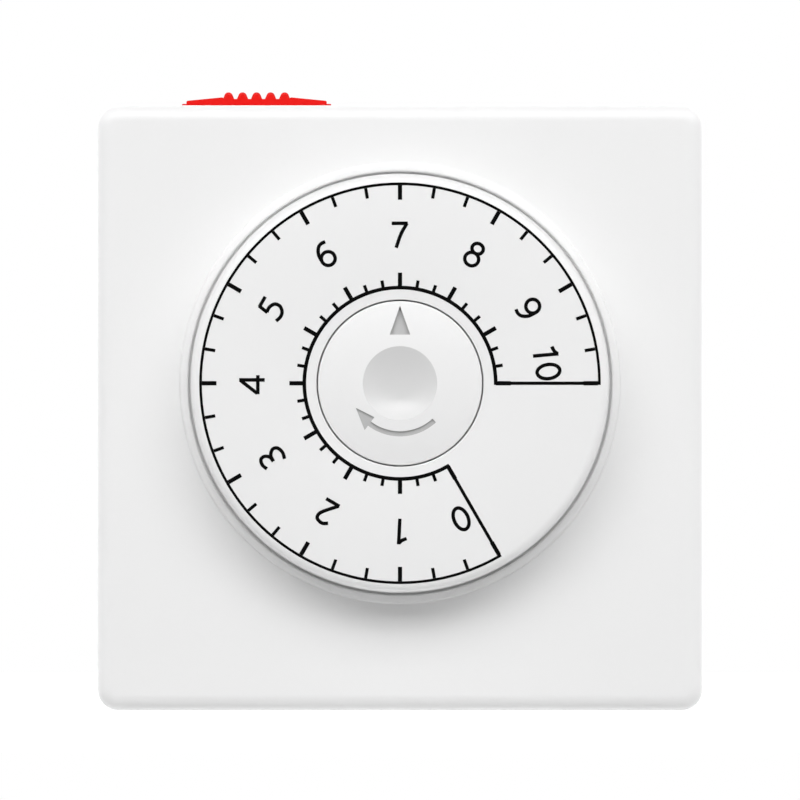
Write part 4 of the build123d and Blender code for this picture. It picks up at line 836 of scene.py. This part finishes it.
class TIMER_OT_dial(bpy.types.Operator):
    """The turning dial: a cup with a rounded rim, a recess for the hub and a tube to the gear ring"""

    bl_idname = "timer.dial"
    bl_label = "Dial"

    def execute(self, context):
        sizes = context.scene.timer_dial
        face = DIAL_LOW.y
        under = face + sizes.skin
        radius = DIAL_HIGH.x
        rim = CASE_LOW.y + context.scene.timer_case.collar_height - sizes.lift
        floor = face + sizes.recess_depth
        floor_back = floor + sizes.recess_floor
        outline = rounded([
            (sizes.recess, face, sizes.mouth_round), (radius - sizes.draft, face, sizes.edge_round),
            (radius, rim, sizes.rim_round), (radius - sizes.skin, rim, sizes.rim_round),
            (radius - sizes.draft - sizes.skin, under, sizes.inner_round),
            (sizes.recess + sizes.skin, under, sizes.inner_round),
            (sizes.recess + sizes.skin, floor_back, 0), (sizes.tube, floor_back, 0),
            (sizes.tube, DIAL_HIGH.y, 0), (sizes.bore, DIAL_HIGH.y, 0), (sizes.bore, floor, 0),
            (sizes.recess, floor, 0),
        ], steps=8)
        plastic = dial_abs()
        dial = shell("dial", lathe(outline), plastic)
        key = sizes.key / 2
        keys = [
            block((middle - key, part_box("dial_gear")[0].y, -key), (middle + key, DIAL_HIGH.y, key), plastic)
            for middle in (-sizes.tube, sizes.tube)
        ]
        smooth(combine(dial, "UNION", keys))
        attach(dial, "dial")
        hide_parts("timer_dial")
        return {"FINISHED"}


class TIMER_OT_hub(bpy.types.Operator):
    """The fixed hub cap: crowned, with a finger dish, a sunk triangle and a sunk clockwise arrow"""

    bl_idname = "timer.hub"
    bl_label = "Hub"

    def execute(self, context):
        sizes = context.scene.timer_hub
        radius = HUB_HIGH.x
        edge = DIAL_LOW.y + sizes.edge_drop
        crown = (edge - HUB_LOW.y) / (1 - (sizes.dish / radius) ** sizes.crown_power)

        def dome(out):
            """Depth of the crown at a distance from the middle."""
            return edge - crown * (1 - (out / radius) ** sizes.crown_power)

        rings = 24
        before_edge, after_edge = 0.985, 0.01     # rings close to the dish's edge, which keep it crisp
        loops = []
        for part in [ring / rings for ring in range(rings)] + [before_edge]:
            floor = HUB_LOW.y + sizes.dish_depth * (1 - part ** sizes.dish_power)
            loops += lathe([(sizes.dish * part, floor)], centre=(0, (part - 1) * sizes.dish_low))
        face = []
        for part in [0, after_edge] + [ring / rings for ring in range(1, rings)]:
            out = sizes.dish + (radius - sizes.dish) * part
            face.append((out, dome(out), 0))
        outline = rounded(
            face + [(radius, edge, sizes.edge_round), (radius, HUB_HIGH.y, 0), (0, HUB_HIGH.y, 0)],
            closed=False, steps=4,
        )
        hub = shell("hub", loops + lathe(outline), dial_abs())
        # The dish's floor gets the greyer finish below, painted shade in its hollow
        hub.data.materials.append(stoned_abs())
        for part in hub.data.polygons:
            inside = math.hypot(part.center.x, part.center.z) < sizes.dish
            if inside and part.center.y < HUB_LOW.y + sizes.dish_depth + SUPPORT:
                part.material_index = 1
        marks = [self.triangle(sizes, dome), self.arrow(sizes, dome)]
        combine(hub, "DIFFERENCE", marks)
        smooth(hub, 25)
        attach(hub, "case")
        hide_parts("dial_hub")
        return {"FINISHED"}

    @staticmethod
    def cutter(name, outline, dome, deep):
        """Tool whose floor follows the crown. Its grey finish passes to the pocket's floor as painted shade.
        """
        near = [Vector((x, HUB_LOW.y - PAST, z)) for x, z in outline]
        far = [Vector((x, dome(math.hypot(x, z)) + deep, z)) for x, z in outline]
        return shell(name, [near, far], etched_abs(), capped=True)

    def triangle(self, sizes, dome):
        """Sunk triangle that points up at the scale."""
        foot, half = sizes.triangle_low, sizes.triangle_half
        outline = [(-half, foot), (half, foot), (0, sizes.triangle_high)]
        return self.cutter("triangle", outline, dome, sizes.triangle_depth)

    def arrow(self, sizes, dome):
        """Sunk arrow that shows which way the dial is wound."""
        ring, half, head = sizes.arrow_ring, sizes.arrow_line / 2, sizes.arrow_head / 2
        outline = arc(ring + half, sizes.arrow_tail, sizes.arrow_root, steps=24)
        outline += [
            clock(ring + head, sizes.arrow_root),
            clock(ring, sizes.arrow_tip),
            clock(ring - head, sizes.arrow_root),
        ]
        outline += arc(ring - half, sizes.arrow_root, sizes.arrow_tail, steps=24)
        return self.cutter("arrow", outline, dome, sizes.arrow_depth)


# Print on the dial, drawn flat with +Z off the paper and then stood up on the dial's face


def new_tree(name, **sockets):
    """Start a Geometry Nodes tree with named inputs, and return it with their sockets."""
    tree = bpy.data.node_groups.new(name, "GeometryNodeTree")
    tree.interface.new_socket("Geometry", in_out="OUTPUT", socket_type="NodeSocketGeometry")
    for label, kind in {**sockets, "material": "Material"}.items():
        tree.interface.new_socket(label.capitalize(), in_out="INPUT", socket_type="NodeSocket" + kind)
    return tree, add_node(tree, "NodeGroupInput").outputs


def end_tree(tree, source, value):
    """End a tree in Realize Instances and Set Material."""
    real = add_node(tree, "GeometryNodeRealizeInstances", links={"Geometry": source})
    done = add_node(tree, "GeometryNodeSetMaterial", links={"Geometry": real, "Material": value["Material"]})
    add_node(tree, "NodeGroupOutput", links={"Geometry": done})
    return tree


def grow(name, tree, **inputs):
    """Run a tree with its inputs set by identifier, and return the result as a plain piece."""
    piece = new_piece(name, bpy.data.meshes.new(name))
    modifier = piece.modifiers.new("grow", "NODES")
    modifier.node_group = tree
    for socket in tree.interface.items_tree:
        if socket.in_out == "INPUT":
            modifier[socket.identifier] = inputs[socket.name.lower()]
    return settle(piece)


def tick_tree():
    """Tree that sets out bars round a centre like the marks of a scale."""
    tree, value = new_tree(
        "scale_ticks", count="Int", first="Float", step="Float", inside="Float", outside="Float",
        width="Float", ink="Float",
    )
    points = add_node(tree, "GeometryNodePoints", links={"Count": value["Count"]})
    index = add_node(tree, "GeometryNodeInputIndex")
    steps = {0: index, 1: value["Step"], 2: value["First"]}
    turned = add_node(tree, "ShaderNodeMath", links=steps, operation="MULTIPLY_ADD")
    back = add_node(tree, "ShaderNodeMath", {1: -1.0}, {0: turned}, operation="MULTIPLY")
    turn = add_node(tree, "ShaderNodeCombineXYZ", links={"Z": back})
    ends = {0: value["Outside"], 1: value["Inside"]}
    reach = add_node(tree, "ShaderNodeMath", links=ends, operation="SUBTRACT")
    total = add_node(tree, "ShaderNodeMath", links=ends, operation="ADD")
    middle = add_node(tree, "ShaderNodeMath", {1: 0.5}, {0: total}, operation="MULTIPLY")
    size = add_node(tree, "ShaderNodeCombineXYZ", links={"X": value["Width"], "Y": reach, "Z": value["Ink"]})
    bar = add_node(tree, "GeometryNodeMeshCube", links={"Size": size})
    out = add_node(tree, "ShaderNodeCombineXYZ", links={"Y": middle})
    moved = add_node(tree, "GeometryNodeTransform", links={"Geometry": bar, "Translation": out})
    ticks = add_node(
        tree, "GeometryNodeInstanceOnPoints", links={"Points": points, "Instance": moved, "Rotation": turn}
    )
    return end_tree(tree, ticks, value)


def stroke_tree():
    """Tree that draws every spline of a route as a flat line of one width."""
    tree, value = new_tree("print_strokes", route="Object", width="Float", ink="Float", detail="Int")
    route = add_node(tree, "GeometryNodeObjectInfo", links={"Object": value["Route"]}).outputs["Geometry"]
    eased = add_node(tree, "GeometryNodeCurveSplineType", links={"Curve": route}, spline_type="CATMULL_ROM")
    fine = add_node(
        tree, "GeometryNodeSetSplineResolution", links={"Geometry": eased, "Resolution": value["Detail"]}
    )
    level = add_node(tree, "GeometryNodeSetCurveNormal", links={"Curve": fine}, mode="Z_UP")
    section = add_node(
        tree, "GeometryNodeCurvePrimitiveQuadrilateral",
        links={"Width": value["Width"], "Height": value["Ink"]},
    )
    line = add_node(
        tree, "GeometryNodeCurveToMesh", {"Fill Caps": True}, {"Curve": level, "Profile Curve": section}
    )
    return end_tree(tree, line, value)


def route(name, strokes):
    """Curve object with a spline for each (points, closed) stroke."""
    curve = bpy.data.curves.new(name, "CURVE")
    curve.dimensions = "3D"
    for points, closed in strokes:
        spline = curve.splines.new("POLY")
        spline.points.add(len(points) - 1)
        for point, (u, v) in zip(spline.points, points):
            point.co = (u, v, 0, 1)
        spline.use_cyclic_u = closed
    return new_piece(name, curve)


def oval(u, v, half_width, half_height, steps=12):
    """Closed stroke round an oval."""
    turns = [2 * math.pi * step / steps for step in range(steps)]
    return [(u + half_width * math.cos(turn), v + half_height * math.sin(turn)) for turn in turns], True


def pen(*points):
    """Open stroke through points."""
    return list(points), False


# Middle lines of the digits, in millimetres from the middle of each: plain upright figures
DIGITS = {
    "0": [oval(0, 0, 1.0, 1.62)],
    "1": [pen((0.2, 1.75), (0.02, -1.88)), pen((-0.94, 0.94), (-0.3, 1.2), (0.18, 1.62))],
    "2": [
        pen((-1.1, 1.2), (-0.35, 1.62), (0.55, 1.4), (0.72, 0.75), (0.2, -0.1), (-1.2, -1.66)),
        pen((-1.3, -1.68), (0.9, -1.68)),
    ],
    "3": [
        pen((-1.08, 1.32), (-0.3, 1.62), (0.5, 1.4), (0.62, 0.75), (0.15, 0.15), (-0.62, 0.0)),
        pen((-0.62, 0.0), (0.3, -0.1), (0.93, -0.75), (0.72, -1.45), (-0.15, -1.75), (-1.1, -1.55)),
    ],
    "4": [
        pen((0.48, 1.72), (0.48, -1.9)),
        pen((0.45, 1.6), (-1.45, -0.85)),
        pen((-1.55, -0.92), (1.15, -0.92)),
    ],
    "5": [
        pen((-0.62, 1.6), (1.08, 1.6)),
        pen((-0.5, 1.7), (-0.72, 0.22)),
        pen(
            (-0.72, 0.3), (0.1, 0.35), (0.85, -0.1), (0.95, -0.85), (0.45, -1.5), (-0.3, -1.7),
            (-1.15, -1.45),
        ),
    ],
    "6": [
        oval(0.03, -0.68, 0.98, 0.98),
        pen((-0.95, -0.6), (-0.88, 0.5), (-0.4, 1.35), (0.2, 1.65), (0.85, 1.6)),
    ],
    "7": [pen((-1.19, 1.6), (1.1, 1.6)), pen((1.0, 1.6), (0.15, 0.1), (-0.55, -1.88))],
    "8": [oval(0, 0.94, 0.82, 0.74), oval(0, -0.75, 1.0, 0.94)],
    "9": [
        oval(-0.05, 0.68, 0.98, 0.98),
        pen((0.93, 0.6), (0.86, -0.5), (0.38, -1.35), (-0.22, -1.65), (-0.87, -1.6)),
    ],
}


def written(text, turn, sizes):
    """Strokes of a number whose top points outward at a clock angle."""
    strokes = []
    for place, digit in enumerate(text):
        offset = (place - (len(text) - 1) / 2) * sizes.digit_pitch
        for points, closed in DIGITS[digit]:
            line = [
                clock(sizes.digit_ring + v * MM, turn) + clock(u * MM + offset, turn + math.pi / 2)
                for u, v in points
            ]
            strokes.append((line, closed))
    return strokes


class TIMER_OT_dial_print(bpy.types.Operator):
    """The black print on the dial: two rings, hour and quarter marks, end lines and the numbers 0 to 10"""

    bl_idname = "timer.dial_print"
    bl_label = "Dial print"

    def execute(self, context):
        sizes = context.scene.timer_dial
        ink = pad_print_ink()
        first, last = sizes.first_angle, sizes.first_angle + sizes.mark_step * (sizes.marks - 1)
        thick = 2 * sizes.ink
        draw = stroke_tree()
        mark = tick_tree()
        hours = (sizes.marks - 1) // sizes.marks_an_hour
        hour = sizes.mark_step * sizes.marks_an_hour
        reach = (sizes.inner_ring - sizes.inner_line / 2, sizes.outer_ring + sizes.outer_line / 2)
        lines = [
            (sizes.outer_line, [(arc(sizes.outer_ring, first, last), False)]),
            (sizes.inner_line, [(arc(sizes.inner_ring, first, last), False)]),
            (sizes.end_line, [([clock(radius, turn) for radius in reach], False) for turn in (first, last)]),
            (sizes.digit_line, self.numbers(sizes, first, hour, hours)),
        ]
        parts = []
        for width, strokes in lines:
            path = route("route", strokes)
            parts.append(grow("stroke", draw, route=path, width=width, ink=thick, detail=6, material=ink))
            bpy.data.objects.remove(path)
        for long_from, long_to, short_from, short_to in (
            (sizes.outer_long, sizes.outer_end, sizes.outer_short, sizes.outer_end),
            (sizes.inner_ring, sizes.inner_long, sizes.inner_ring, sizes.inner_short),
        ):
            parts.append(grow(
                "ticks", mark, count=hours + 1, first=first, step=hour, inside=long_from, outside=long_to,
                width=sizes.long_line, ink=thick, material=ink,
            ))
            for skip in range(1, sizes.marks_an_hour):
                parts.append(grow(
                    "ticks", mark, count=hours, first=first + skip * sizes.mark_step, step=hour,
                    inside=short_from, outside=short_to, width=sizes.short_line, ink=thick, material=ink,
                ))
        printed = combine(parts[0], "UNION", parts[1:])
        printed.name = "dial_print"
        printed.data.transform(Matrix.Translation((0, DIAL_LOW.y, 0)) @ Matrix.Rotation(math.pi / 2, 4, "X"))
        printed.data.materials.clear()
        printed.data.materials.append(ink)
        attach(printed, "dial")
        return {"FINISHED"}

    @staticmethod
    def numbers(sizes, first, hour, hours):
        """Strokes of the numbers from 0 up, one to an hour, with the first and the last moved inwards."""
        shifts = {0: sizes.first_shift, hours: -sizes.last_shift}
        strokes = []
        for number in range(hours + 1):
            strokes += written(str(number), first + number * hour + shifts.get(number, 0), sizes)
        return strokes


# Slide switch


class TIMER_OT_slider(bpy.types.Operator):
    """The red slide switch: low wedge with a thin flange, and round grip ridges across its middle"""

    bl_idname = "timer.slider"
    bl_label = "Slide switch"

    def execute(self, context):
        sizes = context.scene.timer_slider
        plastic = red_abs()
        top = CASE_HIGH.z
        left, right = SLIDER_LOW.x, SLIDER_HIGH.x
        middle, end = (left + right) / 2, (right - left) / 2
        bay = sizes.pitch * (sizes.ridges - 1) / 2 + sizes.bay
        half = [
            (end, sizes.lift, 0),
            (end, sizes.flange, sizes.flange_round),
            (end - sizes.step, sizes.flange, 0),
            (end - sizes.step, sizes.end_height, sizes.end_round),
            (bay, sizes.shoulder, sizes.shoulder_round),
            (bay, sizes.valley, 0),
        ]
        outline = rounded(
            [(middle - out, top + rise, bend) for out, rise, bend in half]
            + [(middle + out, top + rise, bend) for out, rise, bend in reversed(half)]
        )
        slider = prism("slider", outline, SLIDER_LOW.y, SLIDER_HIGH.y, plastic)
        loops = []
        above = 4 * MM
        for inset, rise in ((sizes.foot_ease, 0), (0, sizes.foot_ease), (0, above)):
            near, far, corner = SLIDER_LOW.y + inset, SLIDER_HIGH.y - inset, sizes.corner - inset
            plan = rounded([
                (left + inset, near, corner), (right - inset, near, corner),
                (right - inset, far, corner), (left + inset, far, corner),
            ], steps=10)
            loops.append([Vector((x, y, top + rise)) for x, y in plan])
        plate = shell("plate", loops, plastic, capped=True)
        combine(slider, "INTERSECT", [plate])
        ridge = self.ridge(sizes, middle, plastic)
        ridges = grow(
            "ridges", ridge_tree(), ridge=ridge, count=sizes.ridges, pitch=sizes.pitch, material=plastic
        )
        neck = block(
            (sizes.neck_left, sizes.neck_front, SLIDER_LOW.z),
            (sizes.neck_right, sizes.neck_back, top + sizes.end_height / 2), plastic,
        )
        combine(slider, "UNION", [ridges, neck])
        bpy.data.objects.remove(ridge)
        smooth(soften(slider, sizes.edge_ease), 25)
        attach(slider, "override")
        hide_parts("override_slider")
        return {"FINISHED"}

    @staticmethod
    def ridge(sizes, middle, plastic):
        """The leftmost ridge: a bar with a round top and rounded ends."""
        centre = middle - sizes.pitch * (sizes.ridges - 1) / 2
        top = SLIDER_HIGH.z
        low = CASE_HIGH.z + sizes.end_height / 2
        valley = CASE_HIGH.z + sizes.valley
        bend, steps = sizes.ridge_ease, 4
        roundness = 1.4     # rounding of the top's two corners, in half widths of the top
        loops = []
        for near, side in ((SLIDER_LOW.y, 1), (SLIDER_HIGH.y, -1)):
            rows = []
            for step in range(steps + 1):
                sweep = step / steps * math.pi / 2
                inset = bend * (1 - math.sin(sweep))
                y = near + side * bend * (1 - math.cos(sweep))
                foot = sizes.ridge_foot - inset
                width = sizes.ridge_top - inset
                peak, turn = top - inset, width * roundness
                section = rounded([
                    (centre - foot, low, 0), (centre - foot, valley, 0), (centre - width, peak, turn),
                    (centre + width, peak, turn), (centre + foot, valley, 0), (centre + foot, low, 0),
                ], steps=8)
                rows.append([Vector((x, y, z)) for x, z in section])
            loops += rows if side > 0 else rows[::-1]
        return shell("ridge", loops, plastic, capped=True)


def ridge_tree():
    """Tree that repeats a bar along X."""
    tree, value = new_tree("slider_ridges", ridge="Object", count="Int", pitch="Float")
    step = add_node(tree, "ShaderNodeCombineXYZ", links={"X": value["Pitch"]})
    row = add_node(tree, "GeometryNodeMeshLine", links={"Count": value["Count"], "Offset": step})
    bar = add_node(tree, "GeometryNodeObjectInfo", links={"Object": value["Ridge"]}).outputs["Geometry"]
    bars = add_node(tree, "GeometryNodeInstanceOnPoints", links={"Points": row, "Instance": bar})
    return end_tree(tree, bars, value)


# Screws, pins and outlet


def screw_tree():
    """Tree that puts a screw at the corners of an upright rectangle."""
    tree, value = new_tree("screw_corners", screw="Object", across="Float", tall="Float", middle="Vector")
    grid = add_node(
        tree, "GeometryNodeMeshGrid", {"Vertices X": 2, "Vertices Y": 2},
        {"Size X": value["Across"], "Size Y": value["Tall"]},
    )
    upright = add_node(
        tree, "GeometryNodeTransform", {"Rotation": (math.pi / 2, 0, 0)},
        {"Geometry": grid, "Translation": value["Middle"]},
    )
    screw = add_node(tree, "GeometryNodeObjectInfo", links={"Object": value["Screw"]}).outputs["Geometry"]
    screws = add_node(tree, "GeometryNodeInstanceOnPoints", links={"Points": upright, "Instance": screw})
    return end_tree(tree, screws, value)


class TIMER_OT_screws(bpy.types.Operator):
    """The four self-tapping case screws: pan heads with a cross recess, and threaded shanks"""

    bl_idname = "timer.screws"
    bl_label = "Case screws"

    def execute(self, context):
        steel = zinc_plate()
        places = screw_places()
        thick, shank = 2.2 * MM, 1.3 * MM
        crown_round, rim_round, edge_ease = 1.0 * MM, 0.15 * MM, 0.06 * MM
        head, seat = SCREW_HIGH.y, SCREW_HIGH.y - thick
        radius = SCREW_HIGH.x - places[-1][0]
        crown = rounded([
            (0, head, 0), (radius, head, crown_round), (radius, seat, rim_round),
            (shank, seat, 0), (0, seat, 0),
        ], steps=8)
        screw = shell("screw", lathe(crown, 64), steel)
        reach, half, deep = 1.7 * MM, 0.4 * MM, 1.2 * MM
        arms = [
            block((-x, head - deep, -z), (x, head + PAST, z), steel)
            for x, z in ((reach, half), (half, reach))
        ]
        combine(screw, "DIFFERENCE", arms)
        soften(screw, edge_ease)
        screw = join([screw, self.thread(seat, steel)])
        across = places[-1][0] - places[0][0]
        tall = places[-1][1] - places[0][1]
        middle = (0, 0, (places[-1][1] + places[0][1]) / 2)
        screws = grow(
            "case_screws", screw_tree(), screw=screw, across=across, tall=tall, middle=middle, material=steel
        )
        bpy.data.objects.remove(screw)
        smooth(screws, 40)
        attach(screws, "case")
        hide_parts("cover_screws")
        return {"FINISHED"}

    @staticmethod
    def thread(seat, steel):
        """Shank with a helical thread and a tapered tip."""
        pitch, core, crest = 1.2 * MM, 1.25 * MM, 0.3 * MM
        point, steep = 0.35, 5      # the tip's part of the core, and how sharply the crest rises from it
        around, rows = 24, 8
        tip = SCREW_LOW.y
        count = round((seat - tip) / pitch * rows)
        loops = []
        for row in range(count + 1):
            y = seat - (seat - tip) * row / count
            fade = min(1.0, (y - tip) / (2 * pitch))
            loop = []
            for place in range(around):
                phase = (row / rows + place / around) % 1
                rise = max(0.0, 1 - abs(phase - 0.5) * steep)
                out = core * (point + (1 - point) * fade) + crest * rise * min(fade, row / rows)
                turn = 2 * math.pi * place / around
                loop.append(Vector((out * math.cos(turn), y, out * math.sin(turn))))
            loops.append(loop)
        return shell("thread", loops, steel, capped=True)


def refined(node, name, width, material):
    """Copy of a CAD node with its triangles merged and its sharp edges rounded."""
    form = bmesh.new()
    form.from_mesh(frame["nodes"][node].data)
    bmesh.ops.remove_doubles(form, verts=form.verts, dist=0.001 * MM)
    bmesh.ops.dissolve_limit(form, angle_limit=math.radians(1), verts=form.verts, edges=form.edges)
    mesh = bpy.data.meshes.new(name)
    form.to_mesh(mesh)
    form.free()
    mesh.materials.clear()
    mesh.materials.append(material)
    return smooth(soften(new_piece(name, mesh), width, limit=40), 5)


class TIMER_OT_plug(bpy.types.Operator):
    """The three plug pins, with their edges eased"""

    bl_idname = "timer.plug"
    bl_label = "Plug pins"

    def execute(self, context):
        for node in PIN_TURNS:
            pin = refined(node, node.replace("_pin", "_blade"), width=0.12 * MM, material=drawn_brass())
            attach(pin, "case")
            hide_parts(node)
        return {"FINISHED"}


class TIMER_OT_outlet(bpy.types.Operator):
    """The socket's face in the bottom edge, with its slots' edges eased"""

    bl_idname = "timer.outlet"
    bl_label = "Outlet face"

    def execute(self, context):
        plate = refined("outlet_face", "outlet_plate", width=0.15 * MM, material=white_abs())
        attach(plate, "case")
        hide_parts("outlet_face")
        return {"FINISHED"}


class TIMER_OT_movement(bpy.types.Operator):
    """Finishes of the pieces inside: gears, motor, switch, contacts and leads"""

    bl_idname = "timer.movement"
    bl_label = "Inner finishes"

    def execute(self, context):
        for part in frame["record"]["subparts"]:
            node = frame["nodes"][part["node"]]
            for place in node.material_slots:
                place.material = SLOT_FINISH[part["material_slot"]]()
        return {"FINISHED"}


# Stage


def seen_rays(tree):
    """Outputs of Light Path, and a node that is 1 on camera, glossy and transmission rays."""
    rays = add_node(tree, "ShaderNodeLightPath").outputs
    seen = rays["Is Camera Ray"]
    for kind in ("Is Glossy Ray", "Is Transmission Ray"):
        seen = add_node(tree, "ShaderNodeMath", links={0: seen, 1: rays[kind]}, operation="MAXIMUM")
    return rays, seen


def studio_floor():
    """Pale floor: white where it is seen or mirrored, darker where the object shades it, open from below."""
    material = bpy.data.materials.new("studio_floor")
    tree = new_shading(material)
    rays, seen = seen_rays(tree)
    lit = add_node(tree, "ShaderNodeBsdfDiffuse", {"Color": (*linear("BCBCBC"), 1)})
    glow = add_node(tree, "ShaderNodeEmission", {"Color": (*linear("FFFFFF"), 1), "Strength": 0.8})
    white = add_node(tree, "ShaderNodeAddShader", links={0: lit, 1: glow})
    top = add_node(tree, "ShaderNodeMixShader", links={"Fac": seen, 1: lit, 2: white})
    below = add_node(tree, "ShaderNodeNewGeometry").outputs["Backfacing"]
    open_to = add_node(
        tree, "ShaderNodeMath", links={0: below, 1: rays["Is Shadow Ray"]}, operation="MAXIMUM"
    )
    clear = add_node(tree, "ShaderNodeBsdfTransparent")
    both = add_node(tree, "ShaderNodeMixShader", links={"Fac": open_to, 1: top, 2: clear})
    add_node(tree, "ShaderNodeOutputMaterial", links={"Surface": both})
    return material


def studio_world():
    """World: white to the camera, in gloss and through clear things, and no light on the object."""
    world = bpy.data.worlds.new("studio")
    tree = new_shading(world)
    seen = seen_rays(tree)[1]
    glow = add_node(tree, "ShaderNodeBackground", {"Color": (*linear("FFFFFF"), 1)}, {"Strength": seen})
    add_node(tree, "ShaderNodeOutputWorld", links={"Surface": glow})
    return world


class TIMER_OT_stage(bpy.types.Operator):
    """Pale floor, soft studio lights and the camera"""

    bl_idname = "timer.stage"
    bl_label = "Stage"

    def execute(self, context):
        stage = context.scene.timer_stage
        reach, gap = stage.floor, 0.02 * MM
        corners = [(-reach, -reach), (reach, -reach), (reach, reach), (-reach, reach)]
        mesh = bpy.data.meshes.new("floor")
        mesh.from_pydata([(x, y, CAD_BOX[0].z - gap) for x, y in corners], [], [(0, 1, 2, 3)])
        mesh.materials.append(studio_floor())
        floor = new_piece("floor", mesh)
        context.scene.world = studio_world()

        for name, rise, turn, away, size, energy in (
            ("key", 35, 0, 1.2, (2.4, 0.4), stage.key),
            ("high", 50, 0, 1.2, (2.4, 0.4), stage.high),
            ("left", 12, -108, 1.2, (1.4, 1.4), stage.side),
            ("right", 12, 108, 1.2, (1.4, 1.4), stage.side),
            ("back", 15, 180, 1.2, (2.0, 1.4), stage.back),
            ("under", -75, 180, 1.0, (1.2, 0.6), stage.under),
        ):
            self.lamp(name, math.radians(rise), math.radians(turn), away, size, energy)
        # Seen in gloss, these two would add to the white world and clip the plug's brass
        for name in ("left", "right"):
            bpy.data.objects[name].visible_glossy = False

        face = CASE_LOW.y + context.scene.timer_case.collar_height
        camera = new_piece("camera", bpy.data.cameras.new("camera"))
        camera.data.lens = stage.lens
        away = stage.lens / camera.data.sensor_width * stage.view_width
        camera.location = (stage.view_x, face - away, stage.view_z)
        camera.rotation_euler = (math.pi / 2, 0, 0)
        camera.data.clip_start = 0.1
        camera.data.clip_end = 20
        context.scene.camera = camera
        context.scene.view_settings.view_transform = "Standard"
        return {"FINISHED"}

    @staticmethod
    def lamp(name, rise, turn, away, size, energy):
        """Area light that looks at the dial from an elevation and an azimuth seen from the front."""
        light = bpy.data.lights.new(name, "AREA")
        light.shape = "RECTANGLE"
        light.size, light.size_y = size
        light.energy = energy
        lamp = new_piece(name, light)
        way = Vector((math.sin(turn) * math.cos(rise), -math.cos(turn) * math.cos(rise), math.sin(rise)))
        lamp.location = way * away
        lamp.rotation_euler = way.to_track_quat("Z", "Y").to_euler()
        lamp.visible_camera = False


# Panel and registration


BUILD_ORDER = [
    "movement", "case_front", "case_back", "dial", "dial_print", "hub", "slider", "screws", "plug",
    "outlet", "stage",
]


class VIEW3D_PT_timer(bpy.types.Panel):
    """Sizes and build steps of the countdown timer"""

    bl_label = "Countdown timer"
    bl_space_type = "VIEW_3D"
    bl_region_type = "UI"
    bl_category = "Timer"

    def draw(self, context):
        for step in BUILD_ORDER:
            self.layout.operator("timer." + step)
        for group in SETTINGS:
            box = self.layout.box()
            for name in SETTINGS[group].__annotations__:
                box.prop(getattr(context.scene, group), name)


SETTINGS = {
    "timer_case": TimerCaseSettings,
    "timer_dial": TimerDialSettings,
    "timer_hub": TimerHubSettings,
    "timer_slider": TimerSliderSettings,
    "timer_finish": TimerFinishSettings,
    "timer_stage": TimerStageSettings,
}
CLASSES = [
    *SETTINGS.values(), TIMER_OT_movement, TIMER_OT_case_front, TIMER_OT_case_back, TIMER_OT_dial,
    TIMER_OT_dial_print, TIMER_OT_hub, TIMER_OT_slider, TIMER_OT_screws, TIMER_OT_plug, TIMER_OT_outlet,
    TIMER_OT_stage, VIEW3D_PT_timer,
]


def register():
    """Register the classes and put the settings on the scene."""
    for kind in CLASSES:
        bpy.utils.register_class(kind)
    for name, kind in SETTINGS.items():
        setattr(bpy.types.Scene, name, PointerProperty(type=kind))


def unregister():
    """Take the settings and the classes away again."""
    for name in SETTINGS:
        delattr(bpy.types.Scene, name)
    for kind in reversed(CLASSES):
        bpy.utils.unregister_class(kind)


def main():
    """Build the timer."""
    register()
    for step in BUILD_ORDER:
        getattr(bpy.ops.timer, step)()


if __name__ == "__main__":
    main()
